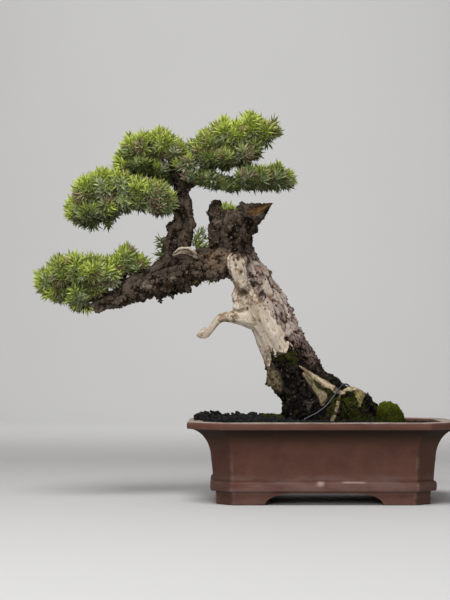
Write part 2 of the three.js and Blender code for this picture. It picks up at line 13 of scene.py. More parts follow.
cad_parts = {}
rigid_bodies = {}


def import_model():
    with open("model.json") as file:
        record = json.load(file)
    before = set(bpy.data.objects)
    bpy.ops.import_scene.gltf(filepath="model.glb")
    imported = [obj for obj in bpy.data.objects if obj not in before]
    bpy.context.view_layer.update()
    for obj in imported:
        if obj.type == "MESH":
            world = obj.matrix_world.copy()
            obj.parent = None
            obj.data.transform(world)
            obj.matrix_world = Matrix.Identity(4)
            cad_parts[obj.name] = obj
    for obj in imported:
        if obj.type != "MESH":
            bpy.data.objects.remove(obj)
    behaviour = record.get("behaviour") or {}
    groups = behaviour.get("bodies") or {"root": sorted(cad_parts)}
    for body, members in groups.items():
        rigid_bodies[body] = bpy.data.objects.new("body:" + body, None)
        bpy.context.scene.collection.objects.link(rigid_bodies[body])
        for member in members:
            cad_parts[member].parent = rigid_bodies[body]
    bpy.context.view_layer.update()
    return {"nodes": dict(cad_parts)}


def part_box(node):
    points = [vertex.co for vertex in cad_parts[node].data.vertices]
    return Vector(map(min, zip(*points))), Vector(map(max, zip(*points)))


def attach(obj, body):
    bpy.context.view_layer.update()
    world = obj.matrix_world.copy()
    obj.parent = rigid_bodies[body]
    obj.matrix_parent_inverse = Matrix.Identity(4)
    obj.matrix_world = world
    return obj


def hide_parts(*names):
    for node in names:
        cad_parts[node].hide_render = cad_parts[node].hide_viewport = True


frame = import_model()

scene = bpy.context.scene
mm = 0.001
potLow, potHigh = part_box("pot")
potMiddle = np.array([(potLow.x + potHigh.x) / 2, (potLow.y + potHigh.y) / 2, 0.0])


def toFrame(points):  # millimetres about the pot to metres in the part's frame
    return np.asarray(points, float) * mm + potMiddle


def toPot(points):
    return (np.asarray(points, float) - potMiddle) / mm


def smooth(low, high, x):
    t = np.clip((np.asarray(x, float) - low) / (high - low), 0, 1)
    return t * t * (3 - 2 * t)


# Node graphs, for materials and for geometry
class Link:
    def __init__(self, graph, socket):
        self.graph, self.socket = graph, socket

    def __add__(self, other):
        return self.graph.math("ADD", self, other)

    def __sub__(self, other):
        return self.graph.math("SUBTRACT", self, other)

    def __rsub__(self, other):
        return self.graph.math("SUBTRACT", other, self)

    def __mul__(self, other):
        return self.graph.math("MULTIPLY", self, other)

    def __pow__(self, other):
        return self.graph.math("POWER", self, other)

    __radd__ = __add__
    __rmul__ = __mul__


class Graph:
    def __init__(self, tree):
        self.tree = tree

    def node(self, kind, settings=None, inputs=None, output=0):
        made = self.tree.nodes.new(kind)
        for key, value in (settings or {}).items():
            if key == "stops":
                stops = made.color_ramp.elements
                while len(stops) < len(value):
                    stops.new(1)
                for stop, (place, colour) in zip(stops, value):
                    stop.position = place
                    stop.color = (*colour, 1)
            else:
                setattr(made, key, value)
        for key, value in (inputs or {}).items():
            if isinstance(value, Link):
                self.tree.links.new(value.socket, made.inputs[key])
            else:
                made.inputs[key].default_value = value
        return Link(self, made.outputs[output]) if made.outputs else None

    def math(self, operation, *values):
        return self.node("ShaderNodeMath", {"operation": operation}, dict(enumerate(values)))

    def step(self, low, high, value):  # 0 below low, 1 above high, smooth between
        settings = {"interpolation_type": "SMOOTHSTEP"}
        return self.node("ShaderNodeMapRange", settings, {0: value, 1: low, 2: high})

    def band(self, start, full, fade, end, value):  # 1 from full to fade, 0 outside start to end
        return self.step(start, full, value) * (1 - self.step(fade, end, value))

    def mix(self, a, b, share):
        a, b = [(*c, 1) if isinstance(c, tuple) else c for c in (a, b)]
        return self.node("ShaderNodeMix", {"data_type": "RGBA"}, {0: share, 6: a, 7: b}, 2)

    def coats(self, colour, *layers):  # lays (colour, share) over a colour, one after the other
        for layer, share in layers:
            colour = self.mix(colour, layer, share)
        return colour

    def parts(self, vector):
        x = self.node("ShaderNodeSeparateXYZ", {}, {0: vector})
        return [Link(self, socket) for socket in x.socket.node.outputs]

    def attribute(self, name, output="Vector"):
        return self.node("ShaderNodeAttribute", {"attribute_name": name}, {}, output)

    def place(self):  # the point's place in the part's frame, in metres
        return self.node("ShaderNodeTexCoord", {}, {}, "Object")

    def noise(self, where, scale, detail=3.0, roughness=0.55, warp=0.0, stretch=None):
        if stretch:
            where = self.node("ShaderNodeMapping", {}, {0: where, 3: stretch})
        values = {"Vector": where, "Scale": scale, "Detail": detail, "Roughness": roughness}
        return self.node("ShaderNodeTexNoise", {}, {**values, "Distortion": warp})

    def ramp(self, value, *stops):
        return self.node("ShaderNodeValToRGB", {"stops": stops}, {0: value})

    def draw(self, low, high, seed):  # a random number for each point or copy
        values = {2: low, 3: high, "Seed": seed}
        return self.node("FunctionNodeRandomValue", {"data_type": "FLOAT"}, values, 1)


def newMaterial(name):
    material = bpy.data.materials.new(name)
    material.use_nodes = True
    material.node_tree.nodes.clear()
    return material, Graph(material.node_tree)


def finishMaterial(graph, colour, roughness, height=None, depth=0.5, gloss=0.5, metal=0.0):
    inputs = {
        "Base Color": colour,
        "Roughness": roughness,
        "Specular IOR Level": gloss,
        "Metallic": metal,
    }
    if height is not None:
        bump = {"Height": height, "Distance": depth * mm}
        inputs["Normal"] = graph.node("ShaderNodeBump", {}, bump)
    surface = graph.node("ShaderNodeBsdfPrincipled", {}, inputs)
    graph.node("ShaderNodeOutputMaterial", {}, {"Surface": surface})


# Meshes
def meshFrom(name, points, faces):
    mesh = bpy.data.meshes.new(name)
    mesh.from_pydata([tuple(p) for p in points], [], faces)
    mesh.validate()
    mesh.update()
    return mesh


def meshOf(name, shape):  # a bmesh as a mesh of its own
    mesh = bpy.data.meshes.new(name)
    shape.to_mesh(mesh)
    shape.free()
    return mesh


def pointsOf(mesh):
    flat = np.empty(len(mesh.vertices) * 3)
    mesh.vertices.foreach_get("co", flat)
    return flat.reshape(-1, 3)


def normalsOf(mesh):
    flat = np.empty(len(mesh.vertices) * 3)
    mesh.vertex_normals.foreach_get("vector", flat)
    return flat.reshape(-1, 3)


def store(mesh, name, values, kind="FLOAT_VECTOR"):
    attribute = mesh.attributes.get(name) or mesh.attributes.new(name, kind, "POINT")
    key = "vector" if kind == "FLOAT_VECTOR" else "value"
    attribute.data.foreach_set(key, np.ascontiguousarray(values, np.float32).ravel())


def fetch(mesh, name, width=1):
    flat = np.empty(len(mesh.vertices) * width, np.float32)
    mesh.attributes[name].data.foreach_get("vector" if width == 3 else "value", flat)
    return flat.reshape(-1, 3) if width == 3 else flat


def shadeByAngle(mesh, degrees):
    mesh.polygons.foreach_set("use_smooth", [True] * len(mesh.polygons))
    mesh.set_sharp_from_angle(angle=math.radians(degrees))


def objectOf(name, mesh):
    made = bpy.data.objects.new(name, mesh)
    scene.collection.objects.link(made)
    return made


def bake(made):  # an object's modifiers, worked into a plain mesh
    graph = bpy.context.evaluated_depsgraph_get()
    old = made.data
    result = bpy.data.meshes.new_from_object(
        made.evaluated_get(graph), preserve_all_data_layers=True, depsgraph=graph
    )
    made.modifiers.clear()
    made.data = result
    result.name = made.name
    bpy.data.meshes.remove(old)
    return result


def addPiece(made, material, slotName, *stoodFor):
    made.data.materials.clear()
    made.data.materials.append(material)
    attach(made, "root")
    if stoodFor:
        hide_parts(*stoodFor)
    print(made.name, len(made.data.polygons), "faces")
    return made


def geometryTree(name, *sockets):  # sockets are (name, type, value)
    tree = bpy.data.node_groups.new(name, "GeometryNodeTree")
    face = tree.interface
    face.new_socket("Geometry", in_out="INPUT", socket_type="NodeSocketGeometry")
    for label, kind, value in sockets:
        made = face.new_socket(label, in_out="INPUT", socket_type="NodeSocket" + kind)
        if value is not None:
            made.default_value = value
    face.new_socket("Geometry", in_out="OUTPUT", socket_type="NodeSocketGeometry")
    graph = Graph(tree)
    start = tree.nodes.new("NodeGroupInput")
    return graph, {socket.name: Link(graph, socket) for socket in start.outputs if socket.name}


def endTree(graph, geometry, material):
    whole = graph.node("GeometryNodeRealizeInstances", {}, {0: geometry})
    painted = graph.node("GeometryNodeSetMaterial", {}, {"Geometry": whole, "Material": material})
    graph.node("NodeGroupOutput", {}, {0: painted})


def grow(made, graph, **values):  # runs a geometry tree on an object
    modifier = made.modifiers.new("grow", "NODES")
    modifier.node_group = graph.tree
    items = graph.tree.interface.items_tree
    names = {item.name: item.identifier for item in items if item.in_out == "INPUT"}
    for name, value in values.items():
        modifier[names[name]] = value
    return bake(made)


def copies(g, points, shapes, rotation, size, seed, shadeSeed):  # one small shape on each point
    pick = {4: 0, 5: 99, "Seed": seed}
    source = {"Collection": shapes, "Separate Children": True, "Reset Children": True}
    fill = {
        "Points": points,
        "Instance": g.node("GeometryNodeCollectionInfo", {}, source),
        "Pick Instance": True,
        "Instance Index": g.node("FunctionNodeRandomValue", {"data_type": "INT"}, pick, 2),
        "Rotation": rotation,
        "Scale": size,
    }
    placed = g.node("GeometryNodeInstanceOnPoints", {}, fill)
    stamp = {"Geometry": placed, "Name": "shade", "Value": g.draw(0.0, 1.0, shadeSeed)}
    kind = {"data_type": "FLOAT", "domain": "INSTANCE"}
    return g.node("GeometryNodeStoreNamedAttribute", kind, stamp)


def tubeTree(name, smoothed=False):  # edges made round
    g, start = geometryTree(
        name, ("Radius", "Float", 0.001), ("Sides", "Int", 4), ("Material", "Material", None)
    )
    curve = g.node("GeometryNodeMeshToCurve", {}, {0: start["Geometry"]})
    size = {"Resolution": start["Sides"], "Radius": start["Radius"]}
    ring = g.node("GeometryNodeCurvePrimitiveCircle", {}, size)
    section = {"Curve": curve, "Profile Curve": ring, "Fill Caps": True}
    tube = g.node("GeometryNodeCurveToMesh", {}, section)
    if smoothed:
        tube = g.node("GeometryNodeSetShadeSmooth", {}, {0: tube})
    endTree(g, tube, start["Material"])
    return g


def kit(name, meshes):  # small shapes for a geometry tree to pick from
    collection = bpy.data.collections.new(name)
    for i, mesh in enumerate(meshes):
        collection.objects.link(bpy.data.objects.new(f"{name}{i}", mesh))
    return collection


def dropKit(collection):
    for made in list(collection.objects):
        bpy.data.meshes.remove(made.data)
    bpy.data.collections.remove(collection)


# Camera, floor and light
studio = {
    "cameraPlace": (-119.2, -2132, 166),
    "tiltUp": 2.26,
    "lens": 102,
    "sensor": 36,
    "floorWide": 16.0,
    "floorFront": -6.0,
    "bendStart": 3.0,
    "bendRadius": 2.0,
    "bendSteps": 16,
    "wallHigh": 7.0,
    "paper": (0.6, 0.598, 0.6),
    "paperShade": 0.94,
    "skyColour": (1.0, 0.97, 0.93, 1),
    "skyStrength": 0.25,
    "lights": [  # name, place, aimed at, size, watts
        ("top", (-0.35, -1.2, 2.1), (0.0, 0.0, 0.25), 1.3, 46),
        ("front", (-0.5, -3.6, 1.2), (0.0, 0.0, 0.25), 1.1, 44),
        ("wall", (0.0, 2.2, 2.6), (0.0, 5.0, 1.2), 3.0, 62),
    ],
}


def placeCamera():
    camera = bpy.data.objects.new("camera", bpy.data.cameras.new("camera"))
    scene.collection.objects.link(camera)
    camera.location = toFrame(studio["cameraPlace"])
    camera.rotation_euler = (math.radians(90 + studio["tiltUp"]), 0, 0)
    camera.data.lens = studio["lens"]
    camera.data.sensor_width = studio["sensor"]
    camera.data.clip_end = 20
    scene.camera = camera


def hangBackdrop():  # a floor that bends up into a wall
    bend, radius, steps = studio["bendStart"], studio["bendRadius"], studio["bendSteps"]
    section = [(studio["floorFront"], 0)]
    for i in range(steps + 1):
        turn = i / steps * math.pi / 2
        section.append((bend + radius * math.sin(turn), radius * (1 - math.cos(turn))))
    section.append((bend + radius, studio["wallHigh"]))
    half = studio["floorWide"] / 2
    points = [(x, y, z) for y, z in section for x in (-half, half)]
    faces = [(2 * i, 2 * i + 1, 2 * i + 3, 2 * i + 2) for i in range(len(section) - 1)]
    backdrop = objectOf("backdrop", meshFrom("backdrop", points, faces))
    shadeByAngle(backdrop.data, 40)
    paper, graph = newMaterial("paper")
    tint = graph.noise(graph.place(), 0.9, 2.0)
    shaded = tuple(c * studio["paperShade"] for c in studio["paper"])
    finishMaterial(graph, graph.mix(studio["paper"], shaded, tint), 0.95)
    backdrop.data.materials.append(paper)


def lightStudio():
    for name, place, aim, size, watts in studio["lights"]:
        lamp = bpy.data.lights.new(name, "AREA")
        lamp.shape = "DISK"
        lamp.size = size
        lamp.energy = watts
        made = bpy.data.objects.new(name, lamp)
        made.location = place
        made.rotation_euler = (Vector(aim) - Vector(place)).to_track_quat("-Z", "Y").to_euler()
        scene.collection.objects.link(made)
    world = bpy.data.worlds.new("sky")
    world.use_nodes = True
    sky = world.node_tree.nodes["Background"]
    sky.inputs["Color"].default_value = studio["skyColour"]
    sky.inputs["Strength"].default_value = studio["skyStrength"]
    scene.world = world
    scene.view_settings.view_transform = "Standard"


placeCamera()
hangBackdrop()
lightStudio()
print("studio ready")


# The pot. The hollow is a line of [how far out of the body, height] from its floor to the rim.
pot = {
    "height": 100,
    "length": 268,
    "depth": 174,
    "cornerCut": 22,
    "lipReach": 31,
    "lipThickness": 8.4,
    "rimTop": 19,
    "footHeight": 16.4,
    "floorTop": 24,
    "beltTop": 28.4,
    "coveFoot": (2, 55),
    "cornerRadius": 2.2,
    "footInset": 3.6,
    "footWall": 13,
    "footDraft": ((0, -5.0), (0.6, -4.4), (2.5, -4.1), (13, -3.6), (30, -3.6)),
    "archHeight": 14.2,
    "frontArch": (71.5, 33),
    "sideArch": (38, 20),
    "beyondFrontArch": (80, 88, 96, 104),
    "beyondSideArch": (44, 51, 58),
    "drainHoles": ((-66, 0), (66, 0)),
    "drainRadius": 13,
    "wireHoles": ((-22, -46), (60, 38), (-60, 38), (22, -46)),
    "wireHoleRadius": 2.6,
    "wobble": 0.35,
}
clay = {
    "dark": (0.082, 0.033, 0.023),
    "light": (0.119, 0.048, 0.033),
    "warm": (0.116, 0.062, 0.042),
    "specks": (0.05, 0.023, 0.017),
    "dustAndHighlight": (0.27, 0.2, 0.18),
    # slant: the colour of painted shade on the slanted corner faces
    "slant": (0.035, 0.016, 0.011),
    "deposit": (0.56, 0.43, 0.38),
    "rim": (0.36, 0.3, 0.25),
    "lime": (0.52, 0.47, 0.4),
    "algae": (0.03, 0.024, 0.011),
    "lipShadow": (0.013, 0.006, 0.001),
}
innerEdge = pot["lipReach"] - pot["rimTop"]
hollow = [(-9.5, pot["floorTop"]), (-8.5, 50), (-5.5, 70), (1.5, 84)]
hollow += [(innerEdge - 1.5, 92), (innerEdge, 98.6)]


def archSteps(halfSpan, curve):  # places along a side, closer together on the arch's curves
    flat = halfSpan - curve
    turns = (0, 15, 30, 44, 56, 66, 75, 82, 87, 90)
    rise = [flat + curve * math.sin(math.radians(a)) for a in turns]
    level = [-flat + 2 * flat * i / 8 for i in range(1, 8)]
    return [-x for x in reversed(rise)] + level + rise


def archLift(along, halfSpan, curve):
    if abs(along) >= halfSpan:
        return 0.0
    past = max(0.0, abs(along) - (halfSpan - curve))
    return pot["archHeight"] * math.sqrt(max(0.0, 1 - (past / curve) ** 2))


def sideSteps(arch, beyond, end, reach):  # places along a whole side, its end moved to reach
    steps = [-x for x in reversed(beyond)] + archSteps(*arch) + [*beyond]
    return [x / end * reach if abs(x) >= beyond[0] else x for x in steps]


def potLoop(offset):
    # Points round the pot, anticlockwise from the front's left end. Corners are small arcs.
    a, b = pot["length"] / 2 + offset, pot["depth"] / 2 + offset
    c = pot["cornerCut"] + offset * (2 - math.sqrt(2))
    frontEnd, sideEnd = pot["length"] / 2 - pot["cornerCut"], pot["depth"] / 2 - pot["cornerCut"]
    xs = sideSteps(pot["frontArch"], pot["beyondFrontArch"], frontEnd, a - c)
    ys = sideSteps(pot["sideArch"], pot["beyondSideArch"], sideEnd, b - c)
    corners = [(c - a, -b), (a - c, -b), (a, c - b), (a, b - c)]
    corners += [(a - c, b), (c - a, b), (-a, b - c), (-a, c - b)]
    slant = [0.25, 0.5, 0.75]
    between = [
        [(x, -b) for x in xs],
        [(a - c + c * t, -b + c * t) for t in slant],
        [(a, y) for y in ys],
        [(a - c * t, b - c + c * t) for t in slant],
        [(x, b) for x in reversed(xs)],
        [(c - a - c * t, b - c * t) for t in slant],
        [(-a, y) for y in reversed(ys)],
        [(-a + c * t, c - b - c * t) for t in slant],
    ]
    loop = []
    reach = pot["cornerRadius"] * math.tan(math.radians(22.5))
    for i, corner in enumerate(corners):
        here = Vector(corner)
        into = (here - Vector(corners[i - 1])).normalized()
        out = (Vector(corners[(i + 1) % 8]) - here).normalized()
        start, end = here - into * reach, here + out * reach
        for t in (0, 0.25, 0.5, 0.75, 1):
            loop.append(start * (1 - t) ** 2 + here * 2 * t * (1 - t) + end * t**2)
        loop.extend(Vector(p) for p in between[i])
    return loop


def skin(rows, closed=True):  # faces between loops of equal length
    count = len(rows[0])
    points = [p for row in rows for p in row]
    faces = []
    for r in range(len(rows) - 1):
        for i in range(count):
            j = (i + 1) % count
            faces.append((r * count + i, r * count + j, (r + 1) * count + j, (r + 1) * count + i))
    if closed:
        faces.append(tuple(reversed(range(count))))
        faces.append(tuple(range((len(rows) - 1) * count, len(rows) * count)))
    return points, faces


def onCurve(a, b, c, d, t):  # from b to c on a smooth curve
    bend = 2 * a - 5 * b + 4 * c - d
    return 0.5 * (2 * b + (c - a) * t + bend * t**2 + (3 * b - a - 3 * c + d) * t**3)


def finer(profile, steps):  # a smooth line through a profile's points
    result = []
    p = [profile[0], *profile, profile[-1]]
    for i in range(1, len(p) - 2):
        four = list(zip(*p[i - 1 : i + 3]))
        for k in range(steps):
            result.append(tuple(onCurve(*values, k / steps) for values in four))
    return [*result, profile[-1]]


def potProfile():  # [how far out of the body, height] up the outside, over the rim and down inside
    height, reach, under = pot["height"], pot["lipReach"], pot["height"] - pot["lipThickness"]
    low, top = pot["footHeight"], pot["beltTop"]
    belt = [(0.8, low), (2.4, low + 0.7), (3.2, 19.2), (3.4, 23), (3.1, 26.2)]
    belt += [(2.5, top - 0.9), (1.2, top)]
    startOffset, startZ = pot["coveFoot"]
    wall = [(-0.4, top + 0.2), (-0.2, top + 1.2), (0.1, 34), (0.4, 40), (0.9, 46), (1.4, 51)]
    cove = []
    for i in range(17):
        turn = i / 16 * math.pi / 2
        out = (reach - 1.5 - startOffset) * (1 - math.cos(turn))
        cove.append((startOffset + out, startZ + (under - startZ) * math.sin(turn)))
    lip = [(reach - 0.5, under + 0.25), (reach, under + 1.0), (reach + 0.2, under + 4)]
    rim = [(reach, height - 1.6), (reach - 0.35, height - 0.7), (reach - 1.2, height - 0.1)]
    rim += [(reach - 6, height), (reach - 12, height)]
    inside = [(innerEdge + 1.2, height - 0.15), (innerEdge + 0.3, height - 0.6)]
    return [*finer(belt, 3), *wall, *cove, *lip, *rim, *inside, *reversed(finer(hollow, 3))]


def potRows(profile):
    rows = []
    wobble = pot["wobble"]
    for offset, z in profile:
        row = []
        for p in potLoop(offset):
            at = Vector((p.x, p.y, z))
            sway = noise.noise(at * 0.018) * wobble + noise.noise(at * 0.06) * wobble * 0.35
            outward = Vector((p.x / 165, p.y / 118, 0)).normalized()
            lift = noise.noise(Vector((p.x, p.y, 40)) * 0.02) * wobble if z > 90 else 0
            row.append(at + outward * sway + Vector((0, 0, lift)))
        rows.append(row)
    return rows


def liftedLoop(offset, share):  # a loop's points, and heights that follow the arches
    row = []
    for p in potLoop(offset):
        low = 0.0
        if abs(p.y) > pot["depth"] / 2 + offset - 0.5:
            low = archLift(p.x, *pot["frontArch"])
        if abs(p.x) > pot["length"] / 2 + offset - 0.5:
            low = archLift(p.y, *pot["sideArch"])
        row.append((p, low + (pot["footHeight"] + 1.5 - low) * share))
    return row


def footRows():  # the ring of feet, its underside lifted over the arches
    inset, thickness = pot["footInset"], pot["footWall"]
    heights, offsets = zip(*pot["footDraft"])
    inner = -inset - thickness
    loops = [(inner, share) for share in (1, 0.75, 0.5, 0.3, 0.15, 0.05)]  # down the inside
    loops += [(inner + 0.6, 0), (-inset - thickness / 2, 0), (-5.6, 0)]  # across the underside
    rows = [[Vector((p.x, p.y, z)) for p, z in liftedLoop(*loop)] for loop in loops]
    base = potLoop(-inset)
    for share in (0.0, 0.05, 0.12, 0.25, 0.45, 0.7, 1):  # up the outside
        row = []
        for (p, z), q in zip(liftedLoop(-inset, share), base):
            out = float(np.interp(z, heights, offsets)) + inset - (0.5 if share == 0 else 0)
            outward = Vector((q.x / 130, q.y / 83, 0)).normalized()
            row.append(Vector((p.x, p.y, z)) + outward * out)
        rows.append(row)
    return [*rows, rows[0]]


def cut(made, tool, operation):
    modifier = made.modifiers.new("cut", "BOOLEAN")
    modifier.object = tool
    modifier.operation = operation
    modifier.solver = "EXACT"
    bake(made)
    bpy.data.meshes.remove(tool.data)


def holeTool(x, y, radius, sides):  # a rod through the floor
    tool = bmesh.new()
    place = Matrix.Translation(Vector(toFrame((x, y, 19))))
    size = {"segments": sides, "radius1": radius * mm, "radius2": radius * mm, "depth": 0.02}
    bmesh.ops.create_cone(tool, cap_ends=True, matrix=place, **size)
    return objectOf("hole", meshOf("hole", tool))


def buildPot():
    points, faces = skin(potRows(potProfile()))
    made = objectOf("bonsai_pot", meshFrom("bonsai_pot", toFrame(points), faces))
    points, faces = skin(footRows(), closed=False)
    feet = objectOf("feet", meshFrom("feet", toFrame(points), faces))
    shape = bmesh.new()
    shape.from_mesh(feet.data)
    bmesh.ops.remove_doubles(shape, verts=shape.verts, dist=1e-7)
    bmesh.ops.recalc_face_normals(shape, faces=shape.faces)
    shape.to_mesh(feet.data)
    shape.free()
    cut(made, feet, "UNION")
    for x, y in pot["drainHoles"]:
        cut(made, holeTool(x, y, pot["drainRadius"], 48), "DIFFERENCE")
    for x, y in pot["wireHoles"]:
        cut(made, holeTool(x, y, pot["wireHoleRadius"], 20), "DIFFERENCE")
    shadeByAngle(made.data, 32)
    return made


def stoneware():
    material, g = newMaterial("stoneware")
    where = g.place()
    x, y, z = g.parts(where)
    along, inward = (x - float(potMiddle[0])) * 1000, (y - float(potMiddle[1])) * 1000
    x, y = g.math("ABSOLUTE", along), g.math("ABSOLUTE", inward)
    z = z * 1000
    # how far out the point lies, then how near it is to an upright corner edge
    slantSum = pot["length"] / 2 + pot["depth"] / 2 - pot["cornerCut"]
    outOfSlant = (x + y - slantSum) * math.sqrt(0.5)
    out = g.math("MAXIMUM", x - pot["length"] / 2, y - pot["depth"] / 2)
    out = g.math("MAXIMUM", out, outOfSlant)
    cornerCut = out * (2 - math.sqrt(2)) + pot["cornerCut"]
    a, b = out + pot["length"] / 2, out + pot["depth"] / 2
    near = []
    for cx, cy in ((a - cornerCut, b), (a, b - cornerCut)):
        near.append(g.math("SQRT", (x - cx) ** 2.0 + (y - cy) ** 2.0))
    edge = 1 - g.step(0.6, 4.4, g.math("MINIMUM", near[0], near[1]))
    grain = g.noise(where, 900, 4, 0.65)
    mottle = g.noise(where, 34, 5, 0.6, 0.4)
    broad = g.noise(where, 9, 3, 0.5)
    smear = g.noise(where, 60, 4, 0.6, 0.2, (0.35, 0.35, 1.6))

    # pale dusting on the belt, feet, lip and rim; on the upright corner edges and in a band just above the
    # belt the pale colour is painted highlight as well as dusting
    outer = g.step(-6.0, -4.0, out)
    rim = g.step(99.1, 99.7, z)
    lipLow = g.band(91.0, 91.8, 92.2, 93.6, z) * g.step(28.5, 30.5, out)
    dustAndHighlight = edge * 0.3 * (1 - g.step(44.0, 72.0, z)) + g.band(13.5, 15.5, 24.5, 28.5, z) * 0.24
    dustAndHighlight = dustAndHighlight + (1 - g.step(14.0, 16.0, z)) * 0.12 + g.band(26.0, 27.0, 30.0, 40.0, z) * 0.26
    dustAndHighlight = dustAndHighlight + g.step(97.5, 99.2, z) * 0.45 + lipLow * 0.16
    dustAndHighlight = dustAndHighlight * g.step(0.3, 0.62, smear) * outer
    # painted shade on the slanted corner faces below the lip
    slantShade = g.step(-1.0, 1.5, outOfSlant - out + 0.8) * (1 - g.step(90.5, 91.5, z))
    # a blot and a stroke of deposit on the front of the belt
    blotAt = g.math("ABSOLUTE", along + 5 + (mottle - 0.5) * 22)
    blot = (1 - g.step(0.0, 7.5, blotAt)) * g.step(21.5, 25.5, z)
    stroke = (1 - g.step(9.0, 17.0, g.math("ABSOLUTE", along - 35))) * 0.75
    onBelt = (1 - g.step(28.4, 29.6, z)) * (1 - g.step(-60.0, -50.0, inward))
    spread = (blot + stroke * g.step(26.4, 27.4, z)) * onBelt
    # lime on the rim, algae under it, and painted shadow under the lip
    lime = rim * g.step(0.36, 0.6, g.noise(where, 85, 5, 0.7, 0.5))
    algae = g.band(72.0, 88.0, 91.0, 92.0, z) * g.step(0.4, 0.75, mottle)
    # the lip's painted shadow on the wall below it
    lipShadow = g.band(64.0, 90.0, 90.4, 91.2, z) * outer
    colour = g.coats(
        g.mix(clay["dark"], clay["light"], g.step(0.3, 0.7, mottle)),
        (clay["warm"], g.step(0.45, 0.75, broad) * 0.3),
        (clay["specks"], g.step(0.62, 0.78, grain) * 0.35),
        (clay["dustAndHighlight"], g.math("MINIMUM", dustAndHighlight, 0.7)),
        (clay["slant"], slantShade * outer * 0.5),
        (clay["deposit"], spread * (0.35 + 0.4 * smear)),
        (clay["rim"], rim * 0.45),
        (clay["lime"], lime * 0.55),
        (clay["algae"], algae * 0.6),
        (clay["lipShadow"], lipShadow * (0.86 + 0.14 * mottle)),
    )
    height = grain * 0.35 + mottle * 0.5 + smear * 0.3
    finishMaterial(g, colour, 0.62 + 0.25 * grain, height, 0.45, gloss=0.22)
    return material


addPiece(buildPot(), stoneware(), "stoneware", "pot")


# Drainage mesh: the CAD nodes stay, in dusty black plastic
screen = {"black": (0.012, 0.012, 0.013), "silt": (0.07, 0.06, 0.05)}


def screenPlastic():
    material, g = newMaterial("screenPlastic")
    where = g.place()
    silt = g.step(0.45, 0.7, g.noise(where, 240, 4, 0.6))
    colour = g.mix(screen["black"], screen["silt"], silt * 0.6)
    finishMaterial(g, colour, 0.42 + 0.4 * silt, g.noise(where, 1500, 2), 0.1)
    return material


screenMaterial = screenPlastic()
for name in ("drain_screen_1", "drain_screen_2"):
    node = frame["nodes"][name]
    node.data.materials.clear()
    node.data.materials.append(screenMaterial)
print("pot and screens ready")


# Soil
soil = {
    "level": 94.5,
    "heap": (5, 80, 62, 8),  # its middle, half length, half depth and height
    "leftRise": (-52, 14, 7.8),  # where the ground rises to the left, how softly and how high
    "humps": (0.7, 0.8),  # how high, and how much more at the left
    "edge": innerEdge - 1.7,
    "underside": 26.6,
    "rings": 46,
    "roughness": 1.6,
    "grainSpacing": 2.7,
    "grainSize": (0.75, 1.5),
    "sink": 0.4,
    # where bigger lumps lie: how many, x range, y range, size range, and how many on one another
    "lumps": [
        [130, (-141, -34), (-94, 94), (1.9, 4.2), 1],
        [72, (-130, 140), (-94, 94), (1.6, 2.9), 1],
        [32, (-157, -139), (-22, 78), (2.2, 3.8), 2],
        [15, (-150, -124), (0, 62), (2.0, 3.0), 3],
        [19, (-124, -62), (0, 70), (1.9, 2.8), 2],
        [16, (-150, -60), (-88, -66), (2.2, 3.2), 1],
    ],
    "rimStart": -141,  # lumps further left than this lie over the rim
    "lumpLimits": (158, 97, 205),  # along, in depth, and both together at the cut corners
    "seed": 7,
    "dark": (0.0025, 0.0025, 0.003),
    "light": (0.052, 0.051, 0.052),
    "pale": (0.07, 0.064, 0.06),
    "brown": (0.035, 0.024, 0.017),
}


def soilHeight(x, y):
    middle, length, depth, high = soil["heap"]
    heap = high * math.exp(-(((x - middle) / length) ** 2) - (y / depth) ** 2)
    start, softness, rise = soil["leftRise"]
    left = 1 / (1 + math.exp((x - start) / softness))
    humps = math.sin(x / 5.1 + 0.8 * math.sin(y / 13)) * math.cos(y / 8)
    return soil["level"] + heap + rise * left + (soil["humps"][0] + soil["humps"][1] * left) * humps


def crustMesh():
    low, top = soil["underside"], soil["level"] - 2
    rows = [[Vector((p.x, p.y, low)) for p in potLoop(-9.8)]]
    for offset, z in finer(hollow, 2):
        if low < z < top:
            rows.append([Vector((p.x, p.y, z)) for p in potLoop(offset - 0.4)])
    edge = potLoop(soil["edge"])
    for i in range(soil["rings"]):
        share = 1 - i / soil["rings"]
        row = []
        for p in edge:
            x, y = p.x * share, p.y * share
            bumps = noise.fractal(Vector((x, y, 0)) * 0.11, 1.0, 2.1, 4) * soil["roughness"]
            row.append(Vector((x, y, soilHeight(x, y) + bumps * smooth(1.0, 0.93, share))))
        rows.append(row)
    return skin(rows)


def grainMeshes(count, detail, seed):
    draw = random.Random(seed)
    made = []
    for k in range(count):
        shape = bmesh.new()
        bmesh.ops.create_icosphere(shape, subdivisions=detail, radius=1)
        away = Vector((k * 3.7, seed, 1.3))
        stretch = Vector((1.15, draw.uniform(0.8, 1.0), draw.uniform(0.7, 0.9)))
        cuts = []
        for _ in range(11):  # flat breaks, as on crushed stone
            side = Vector([draw.uniform(-1, 1) for _ in range(3)]).normalized()
            cuts.append((side, draw.uniform(0.5, 0.82)))
        for vertex in shape.verts:
            vertex.co *= 1 + 0.4 * noise.noise(vertex.co * 1.6 + away)
            for side, reach in cuts:
                vertex.co -= side * max(0.0, vertex.co.dot(side) - reach)
            vertex.co = vertex.co * stretch * 1.2
        made.append(meshOf(f"grain{k}", shape))
    return made


